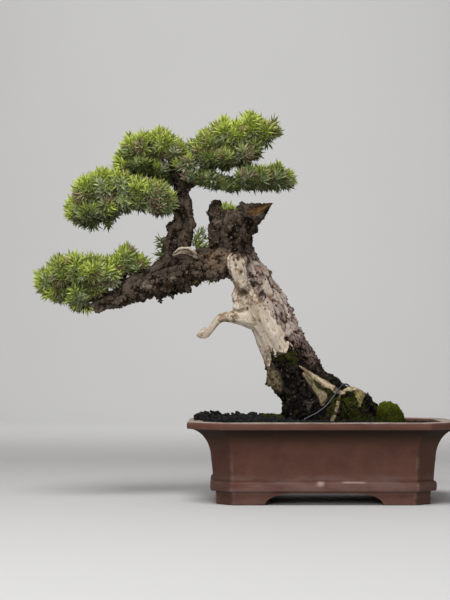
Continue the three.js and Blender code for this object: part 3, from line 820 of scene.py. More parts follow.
def scatterTree():  # small shapes over a surface, as thick as its cover attribute says
    g, start = geometryTree(
        "scatter",
        ("Spacing", "Float", 0.003),
        ("Seed", "Int", 1),
        ("Smallest", "Float", 0.001),
        ("Largest", "Float", 0.002),
        ("Sink", "Float", 0.0),
        ("Upright", "Float", 0.0),
        ("Shapes", "Collection", None),
        ("Material", "Material", None),
        ("Keep", "Bool", True),
    )
    seed, upright, kind = start["Seed"], start["Upright"], {"data_type": "FLOAT"}
    spread = {
        "Mesh": start["Geometry"],
        "Distance Min": start["Spacing"],
        "Density Max": 4e5,
        "Density Factor": g.node("GeometryNodeInputNamedAttribute", kind, {"Name": "cover"}),
        "Seed": seed,
    }
    poisson = {"distribute_method": "POISSON"}
    points = g.node("GeometryNodeDistributePointsOnFaces", poisson, spread)
    normal = Link(g, points.socket.node.outputs["Normal"])
    facing = {"Vector": normal, "Factor": upright}
    turned = g.node("FunctionNodeAlignRotationToVector", {"axis": "Z"}, facing)
    # upright shapes only spin about their own axis, the others turn every way
    turns = {0: (0, 0, 0), 1: (6.283, 6.283, 6.283), "Seed": seed}
    spin = g.node("FunctionNodeRandomValue", {"data_type": "FLOAT_VECTOR"}, turns)
    vector = "ShaderNodeVectorMath"
    free = g.node(vector, {"operation": "SCALE"}, {0: spin, "Scale": 1 - upright})
    zSpin = g.node(vector, {"operation": "MULTIPLY"}, {0: spin, 1: (0, 0, 1)})
    whole = g.node(vector, {"operation": "MAXIMUM"}, {0: free, 1: zSpin})
    spun = g.node("FunctionNodeEulerToRotation", {}, {0: whole})
    local = {"rotation_space": "LOCAL"}
    rotation = g.node("FunctionNodeRotateRotation", local, {0: turned, 1: spun})
    size = g.draw(start["Smallest"], start["Largest"], seed)
    placed = copies(g, points, start["Shapes"], rotation, size, seed, 91)
    sink = g.node("ShaderNodeCombineXYZ", {}, {2: start["Sink"]})
    lowered = {0: placed, "Translation": sink, "Local Space": False}
    placed = g.node("GeometryNodeTranslateInstances", {}, lowered)
    kept = {0: start["Keep"], 2: start["Geometry"]}
    both = g.node("GeometryNodeSwitch", {"input_type": "GEOMETRY"}, kept)
    joined = g.node("GeometryNodeJoinGeometry", {}, {0: both})
    g.tree.links.new(placed.socket, joined.socket.node.inputs[0])
    endTree(g, joined, start["Material"])
    return g


scatter = scatterTree()


def grit():
    material, g = newMaterial("grit")
    where = g.place()
    shade = g.attribute("shade", "Fac")
    fine = g.noise(where, 700, 4, 0.65)
    colour = g.coats(
        g.mix(soil["dark"], soil["light"], g.step(0.48, 0.76, fine)),
        (soil["pale"], g.step(0.82, 0.96, shade) * 0.6),
        (soil["brown"], g.step(0.55, 0.7, g.noise(where, 45, 3)) * 0.5),
    )
    height = fine + g.noise(where, 2200, 2) * 0.5
    finishMaterial(g, colour, 0.75 + 0.2 * fine, height, 0.5, gloss=0.22)
    return material


def layLump(shape, lump, x, y, z, size, draw):  # one lump, turned at random, into a bmesh
    turn = Matrix.Rotation(draw.uniform(0, 6.3), 4, "Z")
    turn = turn @ Matrix.Rotation(draw.uniform(0, 6.3), 4, "X")
    place = Matrix.Translation(Vector(toFrame((x, y, z))))
    lump.transform(place @ turn @ Matrix.Scale(size * mm, 4))
    shape.from_mesh(lump)
    bpy.data.meshes.remove(lump)


def buildSoil():
    points, faces = crustMesh()
    made = objectOf("grit_soil", meshFrom("grit_soil", toFrame(points), faces))
    onTop = pointsOf(made.data)[:, 2] / mm > soil["level"] - 1.2
    store(made.data, "cover", onTop.astype(float), "FLOAT")
    shapes = kit("grain", grainMeshes(6, 1, 3))
    values = {"Spacing": soil["grainSpacing"] * mm, "Seed": soil["seed"], "Shapes": shapes}
    low, high = soil["grainSize"]
    grow(made, scatter, Smallest=low * mm, Largest=high * mm, Sink=soil["sink"] * mm, **values)
    dropKit(shapes)

    draw = random.Random(soil["seed"])
    big = bmesh.new()
    lumps = grainMeshes(7, 2, 9)
    alongLimit, depthLimit, cornerLimit = soil["lumpLimits"]
    for count, alongRange, depthRange, sizes, stacked in soil["lumps"]:
        placed = 0
        while placed < count:
            x, y = draw.uniform(*alongRange), draw.uniform(*depthRange)
            size = draw.uniform(*sizes)
            overRim = x < soil["rimStart"]
            inner = alongLimit - size * (1 if overRim else 4)
            if abs(x) + abs(y) > cornerLimit or abs(x) > inner or abs(y) > depthLimit - size:
                continue
            z = pot["height"] + 0.3 * size if overRim else soilHeight(x, y)
            z += size * draw.uniform(0.05, 0.5)
            for _ in range(stacked):
                layLump(big, draw.choice(lumps).copy(), x, y, z, size, draw)
                x, y = x + draw.uniform(-1.2, 1.2), y + draw.uniform(-1.2, 1.2)
                z, size = z + 1.15 * size, size * 0.86
            placed += 1
    for lump in lumps:
        bpy.data.meshes.remove(lump)
    big.from_mesh(made.data)
    big.to_mesh(made.data)
    big.free()
    return made


addPiece(buildSoil(), grit(), "soil", "soil")
print("soil ready")


# The tree's limbs, as centre lines [x, y, z, radius]
limbs = {
    "trunk": [[2, 2, 62, 36], [-4, 0, 98, 40], [-14, 0, 125, 37], [-33, 0, 167, 32], [-44, 0, 187, 31],
              [-54, 0, 206, 29.5], [-71, 0, 244, 27], [-86, 0, 276, 24.5], [-103, 0, 310, 24.5],
              [-110, 0, 340, 27], [-111, 0, 353, 23], [-112, 0, 364, 14]],
    "knob": [[-117, -2, 328, 19], [-126, -3, 344, 13.5], [-131, -3, 357, 10], [-131, -3, 368, 8],
             [-130, -3, 376, 4]],
    "prong": [[-109, 0, 334, 23], [-98, 1, 348, 21], [-86, 1, 357, 16], [-74, 0, 363.5, 10.5],
              [-59, -2, 372, 2]],
    "bough": [[-92, 0, 294, 20], [-120, -2, 296, 20], [-144, -3, 296, 20], [-163, -4, 292, 21.5],
              [-180, -5, 287, 24], [-198, -6, 279, 20.5], [-213, -6, 272.5, 17.5], [-228, -6, 265, 16.2],
              [-243, -5, 257, 14.6], [-258, -4, 250.5, 12], [-273, -2, 250, 8.5], [-287, 0, 256, 5]],
    "riser": [[-183, 2, 297, 20], [-180, 2, 318, 18.4], [-174, 1, 338, 15.4], [-171, 0, 354, 12.8],
              [-172, 0, 368, 12.2], [-176, 0, 393, 9], [-180, 0, 409, 8], [-193, 1, 438, 3.4]],
    "stub": [[-84, -4, 226, 15], [-102, -8, 228, 9.8], [-113, -11, 229, 7.3], [-124, -13, 228, 6.3],
             [-130, -14, 222.5, 5], [-136, -15, 214, 4.4], [-142, -15, 206.5, 4.8], [-151, -15, 203.5, 2.4]],
    "streak": [[-101, -20, 316, 4], [-106, -20, 303, 9], [-104, -19, 289, 11], [-101, -20, 276, 9],
               [-96, -22, 264, 5]],
    "crest": [[-182, -25, 307, 2], [-175, -26, 313, 3], [-165, -26, 313, 3.4], [-156, -24, 307, 3],
              [-151, -20, 299, 2]],
    "lobe": [[-62, -6, 178, 7], [-58, -10, 162, 10], [-54, -11, 146, 11], [-47, -9, 134, 7]],
    "rootRight": [[-34, -8, 176, 15], [-10, -14, 153, 16], [10, -14, 140, 16], [31, -9, 130, 14],
                  [47, -5, 126, 12.5], [64, -2, 113, 10.5], [77, 0, 98, 9], [88, 0, 82, 7]],
    "rootFront": [[0, -16, 140, 15], [13, -27, 121, 13], [15, -35, 103, 11.5], [12, -41, 84, 8]],
    "rootMid": [[36, -12, 124, 14], [43, -23, 111, 12], [45, -30, 97, 10.5], [45, -36, 80, 7]],
    "rootLeft": [[-28, -12, 138, 18], [-34, -22, 118, 15], [-41, -30, 101, 12], [-50, -36, 82, 8]],
    "rootBack": [[-24, 16, 140, 17], [-32, 34, 118, 13], [-43, 47, 99, 10], [-54, 56, 80, 7]],
    "rootBackRight": [[12, 14, 138, 16], [24, 34, 117, 12], [30, 50, 99, 10], [36, 62, 80, 7]],
    "twigLeft": [[-173, 0, 370, 8], [-188, -6, 376, 6], [-203, -12, 381, 4.4], [-214, -16, 384, 3]],
    "twigTop": [[-176, 0, 397, 7.5], [-168, 0, 410, 6], [-160, -2, 423, 4.6], [-155, -4, 433, 3]],
    "twigRight": [[-174, -1, 386, 7], [-165, -4, 393, 5.4], [-155, -9, 398, 3.8], [-146, -13, 401, 2.4]],
    "twigLow": [[-240, -4, 258, 8], [-247, -1, 272, 5], [-246, 2, 284, 4], [-243, 4, 296, 2.6]],
}
limbNames = list(limbs)


class LimbLine:  # a limb's centre line with a frame that doesn't twist
    def __init__(self, path, spacing=2.0):
        dense = np.array(finer([tuple(p) for p in path], 16))
        steps = np.linalg.norm(np.diff(dense[:, :3], axis=0), axis=1)
        along = np.concatenate([[0], np.cumsum(steps)])
        count = max(3, int(along[-1] / spacing) + 1)
        self.along = np.linspace(0, along[-1], count)
        samples = np.stack([np.interp(self.along, along, dense[:, k]) for k in range(4)], 1)
        self.centre, self.radius = samples[:, :3], samples[:, 3]
        tangent = np.gradient(self.centre, axis=0)
        self.tangent = tangent / np.linalg.norm(tangent, axis=1)[:, None]
        front = np.array([0.0, -1.0, 0.0])
        normals = []
        for t in self.tangent:
            front = front - t * (front @ t)
            front = front / np.linalg.norm(front)
            normals.append(front)
        self.front = np.array(normals)
        self.side = np.cross(self.tangent, self.front)

    def read(self, points):  # across, front and along in mm, then distance over radius
        best = np.full(len(points), 1e9)
        index = np.zeros(len(points), int)
        for i, centre in enumerate(self.centre):
            d = np.linalg.norm(points - centre, axis=1)
            nearer = d < best
            best[nearer], index[nearer] = d[nearer], i
        away = points - self.centre[index]
        ways = (self.side, self.front, self.tangent)
        across, front, along = [np.einsum("ij,ij->i", away, way[index]) for way in ways]
        return np.stack([across, front, self.along[index] + along], 1), best / self.radius[index]


lines = {name: LimbLine(path) for name, path in limbs.items()}


# The tie-down wire's sizes and route: the bark is made to keep clear of it
wire = {
    "radius": 0.95,
    "clearance": 0.35,
    "sides": 10,
    "mostLift": 7.5,
    "shown": (101, 148),  # heights between which its front part lies on the bark
    "dark": (0.045, 0.045, 0.058),
    "light": (0.12, 0.122, 0.155),
}
under = pot["footHeight"] - wire["clearance"] - 2 * wire["radius"]
wireRoute = [
    (51.5, 16.5, 119.5), (48, 12, 126), (43, 6, 133.5), (36, -3, 142.6), (30, -13, 144.8),
    (23, -23, 140.5), (16, -28.5, 131), (6, -34, 119), (-6, -40, 110), (-18, -44, 104),
    (-22, -45.5, 98), (-22, -46, 60), (-22, -46, 24), (-22, -46, under + 3), (-21, -45, under + 0.3),
    (-12, -35.8, under), (50, 27.8, under), (59, 37.2, under + 0.3), (60, 38, under + 3),
    (60, 38, 24), (60, 38, 60), (60, 36, 98), (57, 30, 109), (50, 20, 124),
]


# The tree's surface
bark = {
    "voxel": 1.38,
    "smoothing": 3,
    "cutBelow": 86,
    "cellSize": 9.0,
    "flakeSize": 4.0,
    "cellStep": 1.3,
    "grooveDepth": 2.4,
    "swell": 1.6,
    "plateSize": 9.0,
    "plateLength": 0.4,
    "plateFlake": 3.4,
    "woodDepth": 0.8,
    "barkThickness": 1.3,
    "wireClear": 5.5,
    "twigRelief": 0.4,
}
# forms of old wood too small for the CAD tree: knobs, chips, splinters and flares
oldWood = [
    [[-86, -6, 356, 6], [-85, -7, 365, 4], [-83, -7, 371, 2.2]],
    [[-95, -4, 354, 6], [-96.5, -6, 363, 4.6], [-97.5, -6, 369, 3.2], [-97.5, -6, 373, 1.8]],
    [[-104, 2, 350, 7], [-105, 2, 359, 5], [-107, 2, 364, 2]],
    [[-130, -6, 318, 10], [-131.5, -6, 331, 10], [-131.5, -6, 344, 9], [-131.5, -5, 352, 6]],
    [[-132, -5, 350, 7], [-133, -6, 358, 9.6], [-131, -5, 367, 7.6], [-129.5, -4, 372.5, 6.2],
     [-129.5, -4, 375, 5]],
    [[-127, -4, 356, 8], [-119, -5, 359, 7], [-111, -5, 357, 6.5]],
    [[-121, -8, 326, 10], [-121, -9, 342, 9.5], [-120, -8, 354, 8], [-119, -7, 361, 4]],
    [[-110, -8, 330, 12], [-108, -9, 346, 10], [-104, -8, 356, 6]],
    [[-250, -8, 253, 10], [-265, -9, 248, 8.6], [-279, -9, 243, 6.6], [-291, -8, 240, 4.4],
     [-298, -8, 239, 2.4]],
    [[62, -5, 108, 7], [59, -7, 100, 8], [57, -9, 91, 8]],
    [[-76, -4, 363, 7], [-67, -5, 368, 5.6], [-60.5, -4, 371, 3.2], [-57.5, -4, 372.5, 1.6]],
    [[-79, 0, 356, 8], [-74, -1, 356, 6.5], [-72, -1, 351, 3]],
    [[-86, -2, 342, 8], [-81, -2, 337, 5], [-80, -2, 334, 3]],
    [[-225, -5, 263, 9], [-212, -5, 262, 10], [-198, -5, 263, 11], [-184, -5, 267, 12], [-171, -4, 274, 12]],
    [[-204, -8, 262, 7], [-201, -9, 253, 4.5], [-200, -9, 249, 2]],
    [[-186, -8, 262, 7], [-184, -9, 254, 5], [-184, -9, 250, 2]],
    [[-190, -4, 318, 7], [-195, -5, 324, 4.5], [-197, -5, 328, 2]],
    [[-184, -3, 344, 8], [-189, -4, 340, 5.5], [-191, -5, 338, 3]],
    [[-164, -4, 352, 7], [-160, -5, 346, 5], [-159, -5, 341, 3]],
    [[-102, -6, 264, 8], [-103, -8, 252, 8.5], [-100, -8, 238, 10]],
    [[-104, -8, 262, 5], [-109, -10, 257, 4], [-111, -11, 254, 2]],
    [[-70, -2, 284, 7], [-63, -3, 285, 3.6], [-60, -3, 286, 2]],
    [[-42, -2, 238, 8], [-35, -3, 238, 3.8], [-32, -3, 238, 2]],
    [[-38, -2, 222, 8], [-30, -3, 222, 3.8], [-28, -3, 221, 2]],
    [[-142, -15, 214, 4.6], [-149, -15, 207.5, 4.4], [-153, -15, 205.5, 3], [-155, -15, 204.5, 1.6]],
    [[-143, -15, 213, 4.6], [-144.5, -15, 205, 4.2], [-143.5, -15, 201.5, 2.2]],
]
# pits in the bare streak, darkened with painted shade: x, z, size
woodPits = [
    (-102, 301, 3.0), (-106, 292, 1.8), (-98, 284, 1.7),
    (-109, 299, 1.8), (-95, 293, 1.6), (-92, 238, 1.5),
]
# pale ridges on the roots, as lines [x, z, half width], how far they stand out, and how pale they are
ridges = [
    (
        [(-27, 167, 1.0), (-17, 160, 2.6), (-6, 152, 3.8), (6, 144.5, 4.6), (17, 138, 4.4), (28, 134, 2.6)],
        2.2, 1.0,
    ),
    ([(-22, 158, 3), (-13, 148, 6.5), (-4, 139, 8.5), (1, 130, 7.5), (0, 121, 3.5)], 1.0, 0.5),
    ([(29, 137, 2.6), (37, 139.5, 4.0), (46, 140, 4.2), (54, 137, 3.6)], 1.2, 0.95),
    ([(46, 137, 8.0), (48, 130, 6.4), (48, 123, 4.0), (47, 117, 1.8)], 1.3, 0.66),
    ([(53, 137, 2.6), (53, 130, 2.2), (50, 122, 1.2)], 0.6, 0.75),
    ([(24, 132, 1.8), (20, 122, 3.0), (16, 110, 3.2), (12, 100, 3.6)], 1.4, 0.48),
]
# strips of the tree as seen from the front, as lines [x, z, half width]
strips = {
    "tail": [(-76, 198, 9), (-71, 186, 8), (-67.5, 176, 5.4), (-66, 169, 2.6)],
    "crest": [
        (-183, 306, 1.8), (-176, 309.5, 3.0), (-167, 310, 4.2),
        (-158, 307.5, 4.8), (-151, 301, 4.2), (-148, 296, 2.4),
    ],
    "torn": [(-89, 357.5, 3.2), (-82, 361, 5.4), (-74, 365.5, 6.2), (-65, 369.5, 4.8), (-58, 373, 3.2)],
    "hollow": [(-90, 300, 3), (-88, 284, 4), (-84, 268, 3)],
    "crease": [(-142, 351, 2), (-132, 350, 3), (-122, 353, 3), (-119, 362, 3)],
    "mossBetweenRoots": [(-9, 149, 2.0), (-4, 143, 3.4), (2, 138, 2.2)],
    "mossUnderRidge": [(9, 137, 3), (14, 128, 4), (13, 118, 4)],
}
# round spots of the tree as seen from the front: x, z, half width, half height
spots = {
    "ruddy": (-133, 300, 24, 13),
    "column": (-127, 348, 8.5, 8),
    "knot": (-97, 259, 8, 4),
    "rootMoss": (35, 116, 16, 19),
}
# how far across the trunk the bare wood reaches, at heights up the trunk
border = (
    (180, 186, 193, 203, 215, 225, 250, 262, 274),
    (-0.1, -0.02, 0.18, 0.28, 0.24, 0.14, 0, -0.12, -0.3),
)
# heights or places where a finish starts and where it is full
zones = {
    "bareFoot": (179, 186),
    "bareTop": (280, 266),
    "streakTop": (310, 302),
    "stainTop": (228, 250),
    "stainStreak": (292, 304),
    "stainFoot": (200, 186),
    "wet": (197, 182),
    "purple": (214, 198),
    "greyFoot": (196, 206),
    "greyTop": (318, 290),
    "mossBandFoot": (166, 175),
    "mossBandTop": (189, 183),
    "footMoss": (128, 102),
    "leftMoss": (170, 158),
    "rightMoss": (168, 150),
    "lobe": (130, 137),
    "chipsFoot": (104, 112),
    "chipsTop": (430, 415),
}


def nearRidge(points, path):  # distance over half width, in the picture plane, to a broken line
    best = np.full(len(points), 1e9)
    flat = points[:, [0, 2]]
    for a, b in zip(path[:-1], path[1:]):
        start, way = np.array(a[:2], float), np.array(b[:2], float) - np.array(a[:2], float)
        t = np.clip(((flat - start) @ way) / (way @ way), 0, 1)
        half = a[2] + (b[2] - a[2]) * t
        best = np.minimum(best, np.linalg.norm(flat - start - t[:, None] * way, axis=1) / half)
    return best


def strip(name, outer, inner, points, shift=0.0):  # 1 on a strip, 0 past its edge
    return smooth(outer, inner, nearRidge(points, strips[name]) + shift)


def spot(name, outer, inner, points):
    x, z, halfWidth, halfHeight = spots[name]
    away = np.hypot((points[:, 0] - x) / halfWidth, (points[:, 2] - z) / halfHeight)
    return smooth(outer, inner, away)


def wander(points, size, seed=0.0):  # soft noise, one value for each point, about -0.7 to 0.7
    shift = Vector((seed, seed * 1.7, -seed))
    return np.array([noise.noise(Vector(p) / size + shift) for p in points])


bendShifts = Vector((9.3, -1.5, -7.9)), Vector((0.4, 11.2, 3.7)), Vector((-6.1, 2.3, 13.6))


def cellsOf(q, size, stretch, seed, groove):
    # how far out a cell of bark lies, -1 to 1, and 0 in the groove to 1 on the cell
    where = Vector((q[0], q[1], q[2] * stretch)) / size + Vector((seed, 0, 0))
    bend = [noise.noise(where * 1.1 + away) for away in bendShifts]
    where += 0.34 * Vector(bend)
    near, middles = noise.voronoi(where)
    return noise.cell(middles[0] * 7.3), min(1.0, (near[1] - near[0]) / groove)


def roughBark(q, seed):
    lift, top = cellsOf(q, bark["cellSize"], 0.62, seed, 0.3)
    small, edge = cellsOf(q, bark["flakeSize"], 0.8, seed + 4, 0.32)
    swell = noise.fractal(Vector(q) / 17 + Vector((seed, 0, 0)), 0.9, 2.1, 3)
    deep = bark["grooveDepth"] * ((1 - top) ** 1.4 + 0.42 * (1 - edge))
    return bark["swell"] * 1.7 * swell + bark["cellStep"] * (lift + 0.5 * small) - deep + 0.6


def plateBark(q, seed):
    lift, top = cellsOf(q, bark["plateSize"], bark["plateLength"], seed, 0.17)
    small, edge = cellsOf(q, bark["plateFlake"], 0.55, seed + 4, 0.25)
    return 0.9 * lift + 0.4 * small - 1.9 * (1 - top) ** 1.2 - 0.6 * (1 - edge) + 0.6


def bareWood(q, seed):
    broad = noise.noise(Vector((q[0] / 6.5, q[1] / 6.5, q[2] / 48 + seed)))
    fine = noise.noise(Vector((q[0] / 2.1, q[1] / 2.1, q[2] / 26 + seed)))
    pit = max(0.0, noise.noise(Vector(q) / 4.2 + Vector((0, seed, 5))) - 0.3)
    return bark["woodDepth"] * (broad + 0.32 * fine) - 3.0 * pit


def surveyTree(points):  # each point's place along every limb, and how much it belongs to each
    local, near = zip(*(lines[name].read(points) for name in limbNames))
    table = np.stack(near, 1)
    for name in ("streak", "crest", "stub"):  # thin dead limbs win over the trunk they lie on
        table[:, limbNames.index(name)] -= 0.12
    weight = np.exp(-9 * (table - table.min(1)[:, None]))
    weight[weight < 0.08] = 0
    weight /= weight.sum(1)[:, None]
    return local, weight


class TreeMarks:  # where each finish of the tree lies, 0 to 1 at each point
    def __init__(self, points, normals, local, weight):
        self.points, self.up = points, normals[:, 2]
        self.share = {name: weight[:, k] for k, name in enumerate(limbNames)}
        trunk, line = local[limbNames.index("trunk")], lines["trunk"]
        radius = np.interp(trunk[:, 2], line.along, line.radius)
        self.across = trunk[:, 0] / radius * np.sign(line.side[5][0])
        self.front = trunk[:, 1] / radius
        self.ragged = wander(points, 7, 5) * 8 + wander(points, 3, 6) * 4
        self.sway = wander(points, 14, 3) * 0.2 + wander(points, 4, 9) * 0.14
        self.speckled = wander(points, 4.5, 21) + 0.6 * wander(points, 2.4, 22)
        self.facing = smooth(14, 0, points[:, 1])
        self.frontOnly = smooth(0, -8, points[:, 1])
        self.markWood()
        self.markBark()
        self.markMoss()
        self.markForms()

    def markWood(self):  # the trunk's left half, the dead limbs, and the ridges of the roots
        x, y, z = self.points.T
        share, ragged, sway = self.share, self.ragged, self.sway
        edge = np.interp(z, *border) - 0.75 * smooth(0.1, -0.8, self.front)
        bare = smooth(0.07, -0.07, self.across - edge + sway)
        bare = bare * smooth(*zones["bareFoot"], z + 0.6 * ragged)
        bare = bare * smooth(*zones["bareTop"], z + ragged) * share["trunk"]
        bare = np.maximum(bare, share["streak"] * smooth(*zones["streakTop"], z + 0.6 * ragged))
        bare = np.maximum(bare, share["stub"])
        bare = np.maximum(bare, strip("tail", 1.2, 0.7, self.points, 0.6 * sway) * self.facing)
        crest = strip("crest", 1.15, 0.5, self.points, 0.8 * sway) * self.facing
        self.crest = crest * (1 - 0.75 * smooth(-161, -150, x))
        crestLimb = 0.7 * share["crest"] * smooth(-153, -160, x)
        bare = np.maximum(bare, np.maximum(self.crest, crestLimb))
        streakStain = share["streak"] * (0.5 + 0.6 * smooth(*zones["stainStreak"], z))
        stain = share["trunk"] * smooth(*zones["stainTop"], z) + streakStain + 1.2 * self.crest
        stubStain = share["stub"] * smooth(-98, -107, x) * smooth(-132, -122, x) * 1.25
        stain = np.maximum(stain, stubStain)
        self.stain = np.maximum(stain, smooth(*zones["stainFoot"], z + 0.5 * ragged) * 0.7)
        self.stand, self.pale = np.zeros(len(x)), np.zeros(len(x))
        for path, out, tone in ridges:
            on = smooth(1.15, 0.35, nearRidge(self.points, path) + sway * 1.1) * self.facing
            self.stand = np.maximum(self.stand, on * out)
            self.pale = np.maximum(self.pale, on * tone)
        self.bare = np.maximum(bare, smooth(0.0, 0.7, self.pale))
        self.torn = strip("torn", 1.12, 0.86, self.points, 0.02 * ragged) * smooth(4, 0, y)

    def markBark(self):
        x, _, z = self.points.T
        share, across, rough = self.share, self.across, z + self.ragged
        rise = 24 * smooth(0.0, 0.5, across) * (self.front > -0.5)
        self.wet = smooth(*zones["wet"], rough + rise) * (x > -78)
        self.purple = smooth(*zones["purple"], rough) * (across > 0.05) * (1 - self.wet)
        grey = share["trunk"] * smooth(*zones["greyFoot"], rough) * smooth(*zones["greyTop"], rough)
        boughGrey = 0.1 * share["bough"] * smooth(-200, -216, x)
        grey = np.maximum(grey, boughGrey * smooth(-0.2, 0.3, self.speckled + 0.1))
        column = spot("column", 1.2, 0.5, self.points) * self.frontOnly
        self.grey = np.maximum(grey, 0.3 * column)
        self.ruddy = spot("ruddy", 1.3, 0.5, self.points) * self.frontOnly
        self.droop = smooth(-0.1, -0.7, self.up) * share["bough"]
        upper = share["knob"] + share["prong"] + share["trunk"] * smooth(280, 300, z)
        top = smooth(-0.35, 0.25, self.up + 0.4 * wander(self.points, 12, 51))
        calm = share["bough"] * top + 0.85 * share["riser"]
        self.calm = calm + 0.5 * upper + 0.9 * self.ruddy

    def markMoss(self):
        points, across, ragged = self.points, self.across, self.ragged
        x, _, z = points.T
        band = smooth(*zones["mossBandFoot"], z + ragged) * smooth(*zones["mossBandTop"], z + ragged)
        band = band * smooth(-0.75, -0.5, across) * smooth(0.55, 0.2, across) * self.share["trunk"]
        moss = band * smooth(-0.3, 0.1, wander(points, 8, 31) + 0.2)
        patches = wander(points, 9, 33) + 0.5 * smooth(-8, 22, x) - 0.3
        foot = smooth(*zones["footMoss"], z + 1.2 * ragged) * smooth(-0.2, 0.3, patches)
        root = spot("rootMoss", 1.2, 0.5, points) * smooth(-0.3, 0.1, self.speckled)
        between = strip("mossBetweenRoots", 1.25, 0.6, points)
        under = strip("mossUnderRidge", 1.2, 0.7, points)
        root = np.maximum(root, 0.8 * np.maximum(between, under)) * self.facing
        left = smooth(-0.5, -0.8, across) * smooth(*zones["leftMoss"], z)
        left = left * smooth(-0.4, 0.1, wander(points, 6, 35))
        right = smooth(0.6, 0.85, across) * smooth(*zones["rightMoss"], z)
        right = right * smooth(-0.2, 0.2, wander(points, 6, 36))
        for more in (foot, root, 0.7 * left * self.share["trunk"], 0.6 * right):
            moss = np.maximum(moss, more)
        self.lobe = self.share["lobe"] * smooth(*zones["lobe"], z)
        self.moss = moss * (1 - 0.9 * smooth(0.5, 0.8, self.pale)) * (1 - 0.7 * self.lobe)

    def markForms(self):  # a waist under the stump, a step in under the lobe, hollows and pits
        x, y, z = self.points.T
        points, share, inFront = self.points, self.share, smooth(0, -10, y)
        self.hollow = strip("hollow", 1.3, 0.5, points)
        knot = spot("knot", 1.2, 0.3, points)
        for pitX, pitZ, size in woodPits:
            away = np.hypot(x - pitX, (z - pitZ) * 0.75) / size
            knot = np.maximum(knot, smooth(1.3, 0.4, away + 0.5 * self.sway))
        knot = knot * inFront
        crease = strip("crease", 1.1, 0.4, points) * self.frontOnly
        stripped = bark["barkThickness"] * self.bare * share["trunk"]
        carve = -4.0 * smooth(-92, -82, x) * smooth(292, 304, z) * smooth(330, 318, z)
        carve = carve - 5.0 * smooth(134, 126, z) * smooth(-34, -46, x) * smooth(20, 0, y)
        carve = carve - stripped * (1 - smooth(0, 0.5, self.pale)) - 2.0 * self.hollow * inFront
        carve = carve - 3.0 * knot + 1.5 * self.crest * (1 - share["crest"]) - 2.2 * crease
        self.carve = carve + self.stand
        shaded = self.hollow + knot + 0.8 * crease + 0.5 * share["knob"] * smooth(352, 358, z)
        self.shaded = shaded + 0.6 * self.crest

    def finished(self):
        marks = {
            "bare": self.bare,
            "moss": self.moss,
            "calm": self.calm,
            "torn": self.torn,
            "wet": self.wet * (1 - self.lobe * 0.8),
            "grey": self.grey * (1 - 0.6 * self.hollow),
            "purple": self.purple,
            "shaded": self.shaded,
        }
        marks = {name: np.clip(values, 0, 1) for name, values in marks.items()}
        marks["stain"] = np.clip(self.stain, 0, 1.3)
        marks.update(ruddy=self.ruddy, pale=self.pale, lobe=self.lobe)
        marks.update(carve=self.carve, droop=self.droop)
        return marks


def addLimb(shape, path, sides=9):  # a closed tube along [x, y, z, radius] points, into a bmesh
    line = LimbLine(path, 1.5)
    rings = []
    for centre, front, side, radius in zip(line.centre, line.front, line.side, line.radius):
        ring = []
        for k in range(sides):
            a = 2 * math.pi * k / sides
            out = radius * (math.cos(a) * front + math.sin(a) * side)
            ring.append(shape.verts.new(toFrame(centre + out)))
        rings.append(ring)
    for low, high in zip(rings[:-1], rings[1:]):
        for k in range(sides):
            j = (k + 1) % sides
            shape.faces.new((low[k], low[j], high[j], high[k]))
    shape.faces.new(tuple(reversed(rings[0])))
    shape.faces.new(tuple(rings[-1]))


def roughTree():  # the whole tree as one even skin, open work for the relief
    shape = bmesh.new()
    shape.from_mesh(frame["nodes"]["tree"].data)
    bmesh.ops.remove_doubles(shape, verts=shape.verts, dist=1e-6)
    for path in oldWood:
        addLimb(shape, path)
    made = objectOf("bonsai_tree", meshOf("bonsai_tree", shape))
    remesh = made.modifiers.new("remesh", "REMESH")
    remesh.mode = "VOXEL"
    remesh.voxel_size = bark["voxel"] * mm
    soften = made.modifiers.new("soften", "SMOOTH")
    soften.iterations = bark["smoothing"]
    soften.factor = 0.5
    bake(made)
    shape = bmesh.new()
    shape.from_mesh(made.data)
    floorAt = Vector((0, 0, bark["cutBelow"] * mm))
    every = [*shape.verts, *shape.edges, *shape.faces]
    bmesh.ops.bisect_plane(shape, geom=every, plane_co=floorAt, plane_no=(0, 0, -1), clear_outer=True)
    bmesh.ops.holes_fill(shape, edges=[edge for edge in shape.edges if edge.is_boundary])
    shape.to_mesh(made.data)
    shape.free()
    return made


def reliefOf(k, q, bare, grey, calm):  # how far the surface of limb k stands out at its place q
    high = 0.0
    if bare < 1:
        rough = roughBark(q, k) if grey < 1 else 0.0
        plate = plateBark(q, k) if grey > 0 else 0.0
        rough *= 1 - 0.6 * calm
        onTwig = limbNames[k].startswith("twig")
        high = (rough * (1 - grey) + plate * grey) * (bark["twigRelief"] if onTwig else 1.0)
    if bare > 0:
        high = high * (1 - bare) + bare * bareWood(q, k)
    return high


# which marks each of the tree's attributes carries to its material
markSets = {
    "finish": ("bare", "moss", "torn"),
    "state": ("wet", "grey", "level"),
    "extra": ("pale", "lobe", "ruddy"),
    "shades": ("purple", "shaded", "stain"),
}


